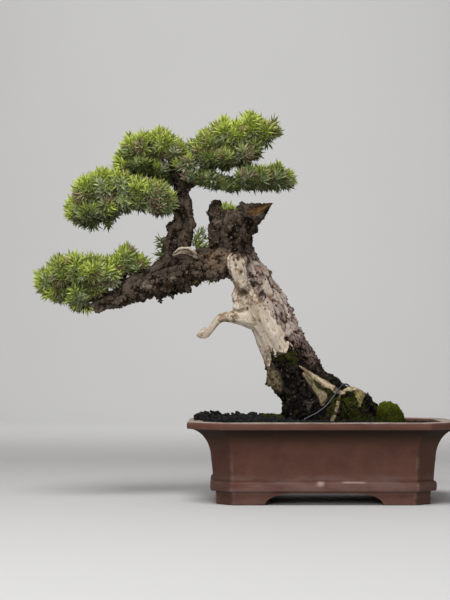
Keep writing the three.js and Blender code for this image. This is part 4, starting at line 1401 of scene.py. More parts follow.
def buildTree():
    made = roughTree()
    mesh = made.data
    points, normals = toPot(pointsOf(mesh)), normalsOf(mesh)
    local, weight = surveyTree(points)
    marks = TreeMarks(points, normals, local, weight).finished()
    print("tree surveyed,", len(points), "points")

    push = np.zeros(len(points))
    grain = np.zeros((len(points), 3))
    strongest = weight.argmax(1)
    kinds = zip(marks["bare"], marks["grey"], marks["calm"])
    for i, kind in enumerate(kinds):
        for k in np.nonzero(weight[i])[0]:
            push[i] += weight[i, k] * reliefOf(k, local[k][i], *kind)
        grain[i] = local[strongest[i]][i]
    # level, 0 in the grooves to 1 on the raised bark, is painted by the materials as shade in the grooves
    # and highlight on top
    spread = 5.6 - 1.6 * marks["grey"] - 2.2 * marks["bare"] - 1.8 * marks["calm"] * (1 - marks["bare"])
    marks["level"] = np.clip(0.5 + push / spread, 0, 1)
    push = push * (1 + 0.5 * marks["droop"]) * (1 - 0.8 * marks["torn"]) + marks["carve"]
    push = push - 1.5 * marks["torn"]
    wirePoints = LimbLine([[*p, 1.0] for p in wireRoute[3:11]], 1.5).centre
    toWire = np.min([np.linalg.norm(points - w, axis=1) for w in wirePoints], axis=0)
    push = np.where(toWire < bark["wireClear"], np.minimum(push, -1.4), push)
    push = push * smooth(bark["cutBelow"], bark["cutBelow"] + 8, points[:, 2])
    mesh.vertices.foreach_set("co", toFrame(points + normals * push[:, None]).ravel())
    mesh.update()
    store(mesh, "grain", grain)
    for key, names in markSets.items():
        store(mesh, key, np.stack([marks[name] for name in names], 1))
    store(mesh, "calm", marks["calm"], "FLOAT")
    store(mesh, "clear", smooth(3.0, 5.0, toWire), "FLOAT")
    store(mesh, "chips", barkCover(marks, points) * smooth(3.5, 5.5, toWire), "FLOAT")
    shadeByAngle(mesh, 50)
    return made


def barkCover(marks, points):  # where loose chips of bark sit
    z = points[:, 2]
    plain = (1 - smooth(0.1, 0.3, marks["bare"])) * (1 - smooth(0.2, 0.4, marks["moss"]))
    plain = plain * (1 - smooth(0.2, 0.5, marks["torn"])) * (1 - 0.75 * marks["grey"])
    plain = plain * (1 - 0.6 * marks["calm"]) * (1 - 0.7 * marks["wet"])
    return plain * smooth(*zones["chipsFoot"], z) * smooth(*zones["chipsTop"], z)


barkColours = {
    "rough": ((0.25, (0.005, 0.003, 0.0012)), (0.5, (0.034, 0.024, 0.017)), (0.8, (0.1, 0.076, 0.056))),
    "lichen": (0.23, 0.2, 0.15),
    "soft": ((0.03, 0.021, 0.014), (0.102, 0.079, 0.06)),
    "softPatch": (0.18, 0.148, 0.11),
    "tan": ((0.1, 0.062, 0.04), (0.24, 0.17, 0.115)),
    "plate": ((0.18, (0.045, 0.03, 0.024)), (0.36, (0.235, 0.175, 0.145)), (0.72, (0.435, 0.362, 0.31))),
    "rust": (0.25, 0.13, 0.085),
    "damp": ((0.3, (0.003, 0.0022, 0.0016)), (0.62, (0.012, 0.0088, 0.007)), (0.95, (0.056, 0.043, 0.035))),
    "purple": (0.18, 0.12, 0.108),
    "olive": ((0.075, 0.06, 0.03), (0.25, 0.2, 0.12)),
    # edge: the colour of painted shade where the bark steps down to bare wood
    "edge": (0.075, 0.045, 0.028),
    "shade": (0.02, 0.013, 0.009),
    "moss": ((0.42, (0.007, 0.0065, 0.002)), (0.54, (0.026, 0.026, 0.007)), (0.66, (0.086, 0.09, 0.018))),
}
woodColours = {
    "grain": (
        (0.32, (0.2, 0.14, 0.09)), (0.42, (0.4, 0.325, 0.24)),
        (0.52, (0.53, 0.455, 0.365)), (0.64, (0.63, 0.565, 0.475)),
    ),
    "grey": (0.33, 0.3, 0.25),
    "lines": (0.17, 0.1, 0.055),
    "rust": (0.3, 0.14, 0.055),
    "stain": ((0.06, 0.032, 0.016), (0.33, 0.22, 0.13)),
    "root": ((0.07, 0.055, 0.026), (0.27, 0.222, 0.135)),
    "ridge": ((0.2, 0.14, 0.075), (0.56, 0.46, 0.32)),
    "yellow": ((0.035, 0.032, 0.008), (0.25, 0.22, 0.065)),
    "blotch": (0.025, 0.022, 0.007),
    "torn": ((0.36, (0.022, 0.011, 0.005)), (0.5, (0.085, 0.045, 0.018)), (0.64, (0.2, 0.115, 0.05))),
    "yellowFrom": (24.0, 40.0),  # the roots' wood is yellow to the right of this
}


def barkColour(g, v):  # rough old bark, grey plates, and the wet bark near the soil
    where, grain, lit = v["where"], v["grain"], v["lit"]
    # each ramp on lit runs from painted shade in the grooves to painted highlight on the raised bark, over
    # the bark's own darker and paler parts
    rough = g.ramp(lit, *barkColours["rough"])
    lichen = g.step(0.54, 0.68, g.noise(where, 110, 4, 0.7, 0.4)) * g.step(0.4, 0.7, lit)
    rough = g.mix(rough, barkColours["lichen"], lichen * 0.6)
    soft = g.mix(*barkColours["soft"], lit * 0.6 + g.noise(grain, 0.22, 5, 0.7, 0.4) * 0.4)
    patch = g.step(0.58, 0.72, g.noise(where, 60, 4, 0.6, 0.3))
    soft = g.mix(soft, barkColours["softPatch"], patch * 0.6)
    rough = g.mix(rough, soft, v["calm"] * 0.7 * g.step(0.2, 0.42, lit))
    tan = g.mix(*barkColours["tan"], g.noise(grain, 0.3, 4, 0.65, 0.5))
    rough = g.mix(rough, tan, v["ruddy"] * 0.8 * g.step(0.05, 0.4, lit))
    rust = g.step(0.56, 0.72, g.noise(where, 75, 4, 0.6))
    plate = g.mix(g.ramp(lit, *barkColours["plate"]), barkColours["rust"], rust * 0.6)
    colour = g.mix(rough, plate, v["grey"])
    damp = g.ramp(lit, *barkColours["damp"])
    flush = g.step(0.34, 0.6, v["blotch"]) * 0.8 * g.step(0.2, 0.5, lit)
    purple = g.mix(damp, barkColours["purple"], flush)
    olive = g.mix(*barkColours["olive"], g.step(0.35, 0.65, v["blotch"]))
    return g.coats(colour, (purple, v["purple"] * 0.85), (damp, v["wet"]), (olive, v["lobe"] * 0.85))


def woodColour(g, v, streak, fine):  # bare wood, with its grain along the limb
    where, pale = v["where"], v["pale"]
    # level adds painted shade in the wood's grooves and painted highlight on its ridges
    wood = g.ramp(streak * 0.6 + v["level"] * 0.4, *woodColours["grain"])
    cellular = g.noise(where, 170, 4, 0.62, 0.35) + v["stain"] * 0.18
    stains = g.mix(*woodColours["stain"], g.step(0.35, 0.65, g.noise(where, 420, 3, 0.6)))
    wood = g.coats(
        wood,
        (woodColours["grey"], g.step(0.5, 0.72, g.noise(where, 38, 4, 0.6)) * 0.55),
        (woodColours["lines"], g.step(0.58, 0.68, fine) * 0.42),
        (woodColours["rust"], g.step(0.62, 0.72, g.noise(where, 130, 3, 0.6, 0.6)) * 0.7),
        (stains, g.step(0.62, 0.72, cellular) * 0.85),
    )
    root = g.mix(*woodColours["root"], g.step(0.36, 0.62, fine))
    ridge = g.mix(*woodColours["ridge"], g.step(0.38, 0.58, streak))
    along = (g.parts(where)[0] - float(potMiddle[0])) * 1000
    toRight = g.step(*woodColours["yellowFrom"], along)
    yellow = g.mix(*woodColours["yellow"], g.step(0.38, 0.6, g.noise(where, 230, 4, 0.65)))
    root = g.coats(
        root,
        (ridge, g.step(0.45, 0.85, pale)),
        (yellow, toRight * (1 - g.step(0.6, 0.9, pale)) * 0.8),
        (woodColours["blotch"], g.step(0.55, 0.68, v["blotch"]) * 0.7),
    )
    return g.mix(wood, root, g.step(0.1, 0.4, pale))


def barkAndWood():
    material, g = newMaterial("barkAndWood")
    where, grain = g.place(), g.attribute("grain")
    v = {"where": where, "grain": grain, "calm": g.attribute("calm", "Fac")}
    for key, names in markSets.items():
        v.update(zip(names, g.parts(g.attribute(key))))
    v["blotch"] = blotch = g.noise(where, 70, 5, 0.65, 0.3)
    speck = g.noise(where, 520, 4, 0.72)
    # lit: the relief's level with fine specks, painted as shade where low and highlight where high
    v["lit"] = v["level"] + (speck - 0.5) * 0.7
    streak = g.noise(grain, 0.34, 5, 0.68, 0.25, (1.0, 1.0, 0.09))
    fine = g.noise(grain, 1.3, 4, 0.7, 0.1, (1.0, 1.0, 0.07))
    ragged = (speck - 0.5) * 0.8 + (g.noise(where, 200, 3, 0.6) - 0.5) * 0.7
    onWood = g.step(0.42, 0.6, v["bare"] + ragged)
    # painted shade along the bark's edge, where it steps down to the bare wood
    barkStepShade = g.step(0.12, 0.4, v["bare"] + ragged) * (1 - onWood)
    felt = g.noise(where, 1000, 3, 0.7)
    green = g.ramp(felt * 0.5 + blotch * 0.5, *barkColours["moss"])
    onMoss = g.step(0.4, 0.6, v["moss"] + ragged * 0.9)
    colour = g.coats(
        barkColour(g, v),
        (barkColours["edge"], barkStepShade * 0.6),
        (woodColour(g, v, streak, fine), onWood),
        (g.ramp(streak, *woodColours["torn"]), g.step(0.3, 0.6, v["torn"] + ragged * 0.2)),
        (barkColours["shade"], v["shaded"] * 0.8 * g.step(0.7, 0.45, v["level"])),
        (green, onMoss * 0.9),
    )
    roughness = 0.88 - 0.2 * onWood - 0.12 * v["wet"] * (1 - onMoss)
    height = speck * 0.8 * (1 - onWood) + blotch * 0.4 + fine * onWood * 0.5 + felt * onMoss * 0.8
    finishMaterial(g, colour, roughness, height, 1.2, gloss=0.09)
    return material


# Loose chips of bark, all over the old bark and hanging under the bough
chips = {
    "bark_chips": {"spacing": 3.3, "sizes": (1.1, 2.5), "upright": 0.8, "seed": 5, "share": 0.8},
    "hanging_bark": {"spacing": 3.0, "sizes": (1.8, 4.2), "upright": 0.25, "seed": 11, "share": 1.0},
}
chipColours = {
    "dark": ((0.01, 0.0065, 0.003), (0.064, 0.046, 0.029)),
    "pale": (0.2, 0.16, 0.125),
}


def chipMeshes(count, seed):  # flat, curled, ragged-edged flakes, about 1 across
    draw = random.Random(seed)
    made = []
    for _ in range(count):
        sides = draw.choice((5, 6, 7))
        stretch = draw.uniform(0.55, 0.9)
        curl = draw.uniform(-0.25, 0.35)
        rim = []
        for k in range(sides):
            a = 2 * math.pi * (k + draw.uniform(-0.3, 0.3)) / sides
            reach = draw.uniform(0.65, 1.15)
            x, y = reach * math.cos(a), reach * stretch * math.sin(a)
            rim.append(Vector((x, y, curl * reach * math.cos(a) ** 2)))
        thick = Vector((0, 0, draw.uniform(0.14, 0.3)))
        points = [p + thick for p in rim] + [p - thick for p in rim]
        faces = [tuple(range(sides)), tuple(reversed(range(sides, 2 * sides)))]
        faces += [(k, k + sides, (k + 1) % sides + sides, (k + 1) % sides) for k in range(sides)]
        made.append(meshFrom("chip", points, faces))
    return made


def looseChips(name, only=None):
    kind = chips[name]
    skinMesh = treePiece.data.copy()
    made = objectOf(name, skinMesh)
    cover = fetch(skinMesh, "chips")
    if only is not None:
        cover = cover * only(toPot(pointsOf(skinMesh)), normalsOf(skinMesh))
    store(skinMesh, "cover", cover * kind["share"], "FLOAT")
    shapes = kit(name + "Kit", chipMeshes(8, kind["seed"]))
    low, high = kind["sizes"]
    values = {"Upright": kind["upright"], "Seed": kind["seed"], "Shapes": shapes, "Keep": False}
    grow(made, scatter, Spacing=kind["spacing"] * mm, Smallest=low * mm, Largest=high * mm, **values)
    dropKit(shapes)
    return made


def chipBark():
    material, g = newMaterial("chipBark")
    speck = g.noise(g.place(), 600, 4, 0.7)
    pale = g.step(0.6, 1.0, g.attribute("shade", "Fac")) * speck
    colour = g.mix(g.mix(*chipColours["dark"], speck), chipColours["pale"], pale)
    finishMaterial(g, colour, 0.9, speck, 0.4, gloss=0.08)
    return material


def underside(points, normals):  # the underside of the bough, where bark hangs down
    x, y, z = points.T
    low = smooth(-0.15, -0.55, normals[:, 2]) * smooth(-248, -238, x) * smooth(-120, -128, x)
    return low * smooth(240, 246, z) * smooth(296, 290, z)


treePiece = addPiece(buildTree(), barkAndWood(), "bark", "tree")
chipMaterial = chipBark()
addPiece(looseChips("bark_chips"), chipMaterial, "bark")
addPiece(looseChips("hanging_bark", underside), chipMaterial, "bark")
print("tree ready")


# Moss
moss = {
    # x, y, z, half length, half depth, height
    "domes": {
        "moss_cushion": (87, -8, 96, 19, 18, 27.5),
        "moss_patch": (-59, -26, 97.5, 18, 15, 10.5),
    },
    "tuftSpacing": 1.3,
    "tuftSize": (1.4, 2.9),
    "feltSpacing": 1.5,
    "feltSize": (0.8, 1.7),
    "lean": 0.24,
    "dark": ((0.01, 0.0115, 0.002), (0.072, 0.09, 0.006)),
    "tips": (0.18, 0.225, 0.006),
    "dry": (0.12, 0.11, 0.02),
}
goldenTurn = 2.39996


def spikes(count, spread, length, width, seed, bend=0.0):
    # a star of closed three-sided blades about +Z; "reach" runs 0 at the root to 1 at the tip
    draw = random.Random(seed)
    points, faces, reach, own = [], [], [], []
    for i in range(count):
        lean = math.radians(spread[0] + (spread[1] - spread[0]) * ((i + 0.5) / count) ** 0.7)
        turn = i * goldenTurn + draw.uniform(-0.3, 0.3)
        flat = math.sin(lean)
        out = Vector((flat * math.cos(turn), flat * math.sin(turn), math.cos(lean)))
        side = out.cross(Vector((0, 0, 1))).normalized()
        up = side.cross(out).normalized()
        size = length * draw.uniform(0.82, 1.12)
        start = len(points)
        middle = out * size * 0.56
        tip = out * size + Vector((0, 0, 1)) * size * bend
        half = width / 2
        points += [out * 0.02 * size, middle + side * half, middle - side * half]
        points += [middle + up * half * 0.7, tip]
        reach += [0, 0.55, 0.55, 0.55, 1]
        own += [draw.random()] * 5
        for a, b in ((1, 3), (3, 2), (2, 1)):
            faces += [(start + a, start + b, start + 4), (start + b, start + a, start)]
    mesh = meshFrom("spikes", points, faces)
    store(mesh, "reach", reach, "FLOAT")
    store(mesh, "own", own, "FLOAT")
    return mesh


def mossGreen():
    material, g = newMaterial("mossGreen")
    where = g.place()
    reach, shade = g.attribute("reach", "Fac"), g.attribute("shade", "Fac")
    patch = g.step(0.38, 0.62, g.noise(where, 130, 4, 0.62))
    high = g.band(104.0, 126.0, 127.0, 132.0, g.parts(where)[2] * 1000)
    green = g.mix(*moss["dark"], patch * 0.5 + high * 0.5)
    green = g.mix(green, moss["tips"], reach * (0.12 + 0.75 * high))
    green = g.mix(green, moss["dry"], g.step(0.75, 1.0, shade) * 0.5)
    finishMaterial(g, green, 0.9, g.noise(where, 1400, 3), 0.4, gloss=0.12)
    return material


def mossDome(x, y, z, halfLength, halfDepth, height):
    shape = bmesh.new()
    bmesh.ops.create_icosphere(shape, subdivisions=5, radius=1)
    for vertex in shape.verts:
        a, b, c = vertex.co
        bump = 1 + 0.04 * math.sin(6 * a + 4 * c) * math.cos(7 * b)
        bump = bump + 0.1 * noise.noise(vertex.co * 3.4) - 0.04
        lift = c * height if c > 0 else c * 5
        along = x - moss["lean"] * halfLength * max(0.0, c) ** 1.5 + a * bump * (halfLength - 1)
        vertex.co = Vector(toFrame((along, y + b * bump * (halfDepth - 1), z + lift * bump)))
    return meshOf("dome", shape)


def growMoss(made, spacing, sizes, seed, keep=True):
    values = {"Spacing": spacing * mm, "Shapes": mossTufts, "Upright": 1.0, "Seed": seed}
    grow(made, scatter, Smallest=sizes[0] * mm, Largest=sizes[1] * mm, Keep=keep, **values)
    return made


def mossFelt():  # short tufts where moss has spread over the roots and the trunk's foot
    skinMesh = treePiece.data.copy()
    made = objectOf("felt_on_roots", skinMesh)
    cover = smooth(0.45, 0.75, fetch(skinMesh, "finish", 3)[:, 1]) * fetch(skinMesh, "clear")
    height = toPot(pointsOf(skinMesh))[:, 2]
    store(skinMesh, "cover", cover * smooth(94, 99, height), "FLOAT")
    return growMoss(made, moss["feltSpacing"], moss["feltSize"], 12, False)


mossMaterial = mossGreen()
mossTufts = kit("mossTuft", [spikes(6, (5, 75), 1.0, 0.34, 60 + i) for i in range(4)])
for name, place in moss["domes"].items():
    dome = objectOf("felt_" + name, mossDome(*place))
    height = toPot(pointsOf(dome.data))[:, 2]
    store(dome.data, "cover", smooth(95.0, 97.0, height), "FLOAT")
    growMoss(dome, moss["tuftSpacing"], moss["tuftSize"], 4)
    addPiece(dome, mossMaterial, "moss", name)
addPiece(mossFelt(), mossMaterial, "moss")
dropKit(mossTufts)
print("moss ready")


# Foliage
# Each pad is a cloud of mounds [x, y, z, half length, half depth, half height], to the needle tips.
foliage = {
    "pad_lower": [
        [-343, 0, 273, 16, 22, 20], [-325, -14, 285, 18, 24, 23], [-322, 16, 284, 17, 24, 22],
        [-328, -4, 262, 17, 26, 17], [-303, -16, 286, 18, 26, 23], [-300, 20, 284, 19, 24, 23],
        [-303, -2, 258, 19, 32, 23], [-281, -14, 285, 18, 26, 22], [-278, 20, 284, 18, 24, 22],
        [-281, 4, 266, 17, 30, 18], [-260, -6, 285, 17, 28, 22], [-258, 20, 290, 16, 22, 19],
        [-242, 2, 301, 15, 28, 20], [-227, 4, 296, 13, 22, 13],
    ],
    "pad_left": [
        [-306, -2, 366, 15, 22, 20], [-292, -16, 386, 18, 24, 22], [-290, 18, 384, 18, 24, 22],
        [-290, -6, 360, 19, 30, 19], [-272, -18, 394, 19, 24, 22], [-268, 20, 392, 19, 24, 22],
        [-267, -4, 368, 18, 32, 20], [-250, -14, 395, 17, 26, 22], [-246, 20, 397, 17, 24, 22],
        [-247, 0, 375, 17, 32, 16], [-227, -16, 391, 16, 24, 17], [-226, 4, 376, 15, 30, 15],
        [-204, -16, 386, 18, 24, 16], [-202, -10, 368, 14, 22, 14], [-189, -12, 373, 12, 18, 18],
    ],
    "crown_left": [
        [-247, -2, 430, 11, 20, 14], [-236, -10, 440, 15, 24, 18], [-234, 18, 438, 15, 22, 19],
        [-220, -14, 444, 17, 25, 18], [-217, 18, 443, 17, 24, 18], [-200, -12, 447, 18, 26, 20],
        [-197, 18, 446, 17, 24, 19], [-180, -6, 438, 16, 28, 17], [-168, 8, 431, 14, 28, 15],
        [-226, 0, 422, 18, 30, 18], [-204, 8, 415, 17, 28, 17], [-191, 18, 411, 13, 20, 16],
        [-250, -4, 419, 11, 20, 15],
    ],
    "crown_right": [
        [-156, -2, 438, 15, 28, 16], [-141, -14, 449, 16, 24, 17], [-138, 18, 447, 16, 24, 17],
        [-122, -12, 459, 17, 26, 21], [-118, 20, 456, 18, 24, 20], [-102, -12, 459, 17, 26, 19],
        [-98, 20, 459, 17, 24, 19], [-86, -8, 468, 15, 28, 20], [-80, 20, 460, 16, 22, 18],
        [-67, -2, 463, 14, 28, 15], [-59, 4, 465, 11, 22, 12], [-141, 0, 429, 18, 34, 17],
        [-119, 0, 430, 18, 36, 18], [-97, 0, 434, 17, 34, 19], [-83, 2, 441, 13, 26, 16],
        [-170, -20, 421, 14, 14, 13],
    ],
    "pad_right": [
        [-150, -8, 404, 13, 22, 12], [-135, -14, 402, 14, 24, 12], [-132, 16, 402, 14, 24, 12],
        [-117, -8, 397, 14, 20, 8.5], [-112, 16, 397, 14, 20, 8.5], [-91, -12, 405, 15, 26, 16],
        [-89, 18, 404, 15, 24, 15], [-72, -10, 404, 17, 26, 17], [-69, 16, 404, 16, 22, 17],
        [-54, -2, 404, 15, 26, 18], [-40, 2, 403, 12, 20, 13], [-164, -20, 407, 10, 12, 9],
    ],
}
# Single shoots that stand out of the pads: where their tips reach [x, y, z], which way [x, z],
# how fresh, and how much painted shade darkens them
outliers = {
    "pad_lower": [
        [-361, -4, 284, -1, 0.4, 0.75, 0], [-362, -2, 270, -1, -0.05, 0.7, 0],
        [-352, -8, 252, -1, -0.25, 0.75, 0], [-317, -12, 314, -0.3, 1, 0.5, 0],
        [-330, -10, 310, -0.4, 1, 0.4, 0.1], [-288, -14, 312, 0.1, 1, 0.5, 0.1],
        [-247, -6, 324, -0.2, 1, 0.45, 0.1], [-237, -4, 323, 0.3, 1, 0.4, 0.2],
        [-211, -2, 301, 1, 0.4, 0.45, 0.2], [-222, -6, 309, 0.6, 1, 0.5, 0.1],
        [-307, -14, 234, -0.2, -1, 0.7, 0], [-288, -12, 231, 0.3, -1, 0.65, 0.1],
        [-269, -10, 236, -0.3, -1, 0, 0.8], [-258, -9, 236, 0.1, -1, 0, 0.9],
        [-247, -8, 238, 0.3, -1, 0, 0.9],
    ],
    "pad_left": [
        [-324, -4, 361, -1, 0.1, 0.85, 0], [-322, -6, 352, -1, -0.3, 0.8, 0],
        [-315, -8, 380, -1, 0.5, 0.8, 0], [-313, -10, 396, -0.8, 0.8, 0.6, 0],
        [-309, -12, 342, -0.7, -0.8, 0, 0.85], [-303, -10, 336, -0.6, -1, 0, 0.85],
        [-288, -8, 332, -0.1, -1, 0, 0.9], [-280, -14, 333, 0.2, -1, 0, 0.8],
        [-265, -10, 335, 0.1, -1, 0, 0.95], [-257, -12, 342, 1, -0.4, 0, 0.9],
        [-253, -6, 348, 0.5, -1, 0, 0.8], [-242, -8, 353, 0, -1, 0.1, 0.6], [-201, -12, 350, 0, -1, 0, 0.8],
        [-270, -14, 418, 0, 1, 0.9, 0], [-292, -12, 410, -0.4, 1, 0.7, 0],
    ],
    "crown_left": [
        [-262, -6, 432, -0.8, 0.6, 0.8, 0], [-258, -6, 418, -1, 0, 0.8, 0], [-200, -10, 471, 0, 1, 0.8, 0],
        [-243, -10, 464, -0.5, 1, 0.7, 0],
    ],
    "crown_right": [
        [-90, -8, 492, -0.15, 1, 0.9, 0], [-85, -10, 486, 0.35, 1, 0.8, 0],
        [-121, -10, 485, -0.1, 1, 0.95, 0], [-107, -12, 481, 0, 1, 0.9, 0], [-72, -6, 483, 0.2, 1, 0.5, 0.1],
        [-53, 0, 483, 0.6, 1, 0.4, 0.1], [-134, -10, 476, -0.4, 1, 0.9, 0], [-148, -8, 468, -0.6, 1, 0.8, 0],
        [-164, -6, 454, -0.5, 1, 0.7, 0], [-44, 0, 462, 1, 0.1, 0.2, 0.3], [-66, -2, 439, 0.1, -1, 0, 0.7],
        [-73, -4, 437, 1, 0.6, 0.4, 0.2],
    ],
    "pad_right": [
        [-53, -10, 430, -0.1, 1, 0.7, 0.15], [-46, -10, 424, 0.7, 1, 0.65, 0.2],
        [-62, -9, 423, -0.7, 1, 0.5, 0.3], [-26, -2, 400, 1, 0.1, 0.75, 0], [-32, -4, 414, 0.5, 1, 0.6, 0],
        [-112, -8, 383, -0.3, -1, 0, 1], [-103, -8, 383, 0.3, -1, 0, 1], [-96, -9, 384, 0.6, -1, 0, 1],
        [-89, -6, 383, 0.1, -1, 0, 1], [-75, -8, 385, 0.1, -1, 0, 0.8], [-56, -6, 383, 0, -1, 0.2, 0.7],
        [-40, -4, 386, 0.4, -1, 0.2, 0.7], [-144, -8, 387, -0.6, -0.9, 0, 0.7],
        [-128, -10, 386, -0.2, -1, 0, 0.8],
    ],
}
# Patches of the pads, as seen from the front: [x, z, radius, fresher, greyer, browner, more painted shade],
# with zeros at the end left out
tones = {
    "pad_lower": [
        [-341, 250, 12, 0.4, 0, 0, -0.3], [-354, 275, 10, 0.3, 0, 0, -0.2], [-336, 272, 8, -0.3, 0, 0.5],
        [-314, 281, 8, -0.2, 0, 0.4], [-330, 290, 10, 0.35], [-296, 288, 14, 0.4],
        [-262, 261, 11, 0.35, 0.2, 0, -0.2], [-299, 251, 18, -0.3, 0.4, 0, 0.12], [-281, 266, 10, 0.3],
        [-241, 308, 16, -0.05, -0.5, -0.1, 0.1], [-295, 235, 10, -0.2, 0, 0.4],
    ],
    "pad_left": [
        [-316, 362, 12, 0.6, -0.2, 0, -0.4], [-309, 378, 11, 0.4, 0, 0, -0.2], [-300, 402, 14, 0.35],
        [-270, 411, 12, 0.4], [-254, 416, 10, 0.5, 0, 0, -0.2], [-272, 397, 9, -0.25, 0.3, 0, -0.2],
        [-294, 382, 10, -0.3, 0.2, 0.35], [-268, 384, 10, -0.4, 0.4, 0.35],
        [-245, 381, 13, -0.2, 0.7, 0, -0.2], [-263, 367, 9, 0.6, 0, 0, -0.4],
        [-280, 364, 9, -0.2, 0, 0.4, 0.1], [-226, 389, 11, 0.45, 0, 0, -0.1], [-199, 388, 10, 0.2, 0, 0.25],
        [-231, 363, 10, -0.3, 0.4, 0.3], [-202, 358, 13, -0.7, 0, 0.6, 0.1],
        [-280, 350, 14, -0.2, 0, 0.1, 0.4],
    ],
    "crown_left": [
        [-238, 452, 11, 0.4], [-242, 438, 9, -0.3, 0, 0.35], [-255, 422, 12, 0.7, -0.2, 0, -0.6],
        [-224, 447, 7, -0.2, 0, 0.5], [-195, 461, 12, 0.35], [-198, 431, 9, -0.3, 0, 0.4],
        [-190, 420, 11, -0.4, 0.5], [-182, 434, 9, 0, 0.4, 0, -0.1], [-214, 411, 18, -0.1, -0.6, -0.1, 0.5],
    ],
    "crown_right": [
        [-121, 477, 10, 0.5], [-110, 458, 13, 0.7, 0, -0.1, -0.2], [-117, 437, 7, 0.8, 0, 0, -0.3],
        [-135, 460, 11, 0.4], [-90, 467, 9, 0, 0, 0.35], [-83, 479, 10, -0.1, -0.4], [-57, 466, 9, 0.2],
        [-48, 460, 7, -0.3, 0, 0.5], [-99, 440, 9, -0.2, 0.4], [-83, 429, 9, -0.2, 0, 0.4],
        [-133, 411, 10, -0.3, 0.7, 0.1, -0.4], [-157, 427, 12, -0.2, 0.4, 0.1],
        [-170, 421, 14, -0.5, 0.4, 0.1, 0.1],
    ],
    "pad_right": [
        [-50, 424, 9, 0.3, 0, 0, -0.1], [-36, 411, 9, 0.3, 0, 0.15, -0.1], [-36, 393, 9, 0.35, 0, 0, -0.1],
        [-81, 411, 11, -0.2, -0.2, 0, 0.15], [-54, 402, 9, -0.2, 0, 0.35], [-72, 387, 8, -0.2, 0, 0.4],
        [-139, 393, 10, -0.2, 0.5, 0, -0.1],
    ],
}
# Small sprays out of the bark: how fresh and how much painted shade, then shoots from root to tip
sprays = {
    "spray_fork_left": [
        0.2, 0.5, [(-192, -4, 322), (-200, -6, 325)], [(-192, -4, 317), (-199, -6, 318)],
        [(-192, -4, 307), (-198, -6, 306)],
    ],
    "spray_fork_right": [
        0.4, 0.25, [(-160, 3, 318), (-150, 3, 336)], [(-157, 4, 316), (-142, 5, 318)],
        [(-157, 4, 318), (-147, 5, 327)],
    ],
    "spray_stump": [0.85, 0.0, [(-121, -8, 361), (-120, -9, 366)], [(-115, -9, 360), (-113, -10, 364)]],
    "spray_under_bough": [0.4, 0.3, [(-146, -4, 284), (-151, -5, 277)], [(-135, -3, 284), (-136, -4, 278)]],
}
shoots = {
    "spacing": 8.2,
    "length": (13, 22),
    "tipDepth": 10.5,
    "tuftStep": 5.8,
    "sprayStep": 4.5,
    "needleLength": 12.0,
    "needleWidth": 2.9,
    "needles": 7,
    "buried": 0.86,
    "brown": 0.07,
    "shaded": {"pad_right": 0.34, "crown_left": 0.03},
    "shadedLow": {"pad_left": 0.45, "crown_left": 0.8, "crown_right": 0.15, "pad_right": 0.3},
    "silver": {"pad_left": 0.16},
    "seed": 101,
    "twigRadius": 0.55,
}
needleColours = {
    "old": ((0.11, 0.155, 0.034), (0.34, 0.42, 0.13)),
    "blue": ((0.26, 0.31, 0.16), (0.58, 0.63, 0.37)),
    "young": ((0.25, 0.35, 0.04), (0.6, 0.68, 0.13)),
    "dry": ((0.14, 0.075, 0.04), (0.5, 0.33, 0.24)),
    "tip": (0.42, 0.33, 0.14),
    "root": (0.05, 0.045, 0.02),
    "dark": (0.012, 0.016, 0.003),
    # the colour of painted shade on the needles
    "dim": (0.016, 0.022, 0.006),
    "twig": ((0.03, 0.018, 0.01), (0.13, 0.075, 0.045)),
}


def depthIn(mound, point):
    return math.hypot(*[(point[k] - mound[k]) / mound[3 + k] for k in range(3)])


def areaOf(half):  # of an ellipsoid, nearly
    pairs = [(half.x * half.y) ** 1.6, (half.x * half.z) ** 1.6, (half.y * half.z) ** 1.6]
    return 4 * math.pi * (sum(pairs) / 3) ** (1 / 1.6)


def tintOf(name, surface, normal, high, layer, draw, seed):  # how fresh, grey and brown a shoot is, and how much painted shade darkens it
    clump = noise.noise(surface / 17 + Vector((seed, 0, 0)))
    # fresher on high shoots and on those facing up and to the left: young growth, with painted light from
    # above and the left
    fresh = 0.22 + 0.34 * normal.z - 0.12 * normal.x + 0.28 * high + 0.6 * clump + draw.uniform(-0.22, 0.22)
    fresh -= 0.35 * layer + shoots["shaded"].get(name, 0)
    greyish = 0.58 + shoots["silver"].get(name, 0) - 0.3 * high + draw.uniform(-0.25, 0.25)
    greyish += 0.8 * noise.noise(surface / 15 + Vector((0, seed, 0)))
    patch = noise.noise(surface / 11 + Vector((0, 0, seed)))
    chance = shoots["brown"] + 0.15 * (patch > 0.36) + 0.12 * (normal.z < -0.45)
    # painted shade: darker on downward-facing shoots low in a pad, on pads that others shade, on the lowest
    # part of some pads, and in random clumps
    dim = 0.8 * smooth(-0.15, -0.75, normal.z) * (1 - high) + 0.9 * shoots["shaded"].get(name, 0)
    dim += 0.25 * max(0.0, noise.noise(surface / 9 + Vector((seed, seed, 0))))
    dim += shoots["shadedLow"].get(name, 0) * smooth(0.42, 0.18, high)
    for x, z, size, *change in tones[name]:
        on = float(smooth(1.1, 0.4, math.hypot(surface.x - x, surface.z - z) / size)) * (surface.y < 6)
        values = zip((fresh, greyish, chance, dim), (*change, 0, 0, 0))
        fresh, greyish, chance, dim = [value + on * more for value, more in values]
    brown = 1.0 if draw.random() < chance else draw.uniform(0, 0.35)
    return [*(min(1, max(0, v)) for v in (fresh, greyish, brown, dim))]


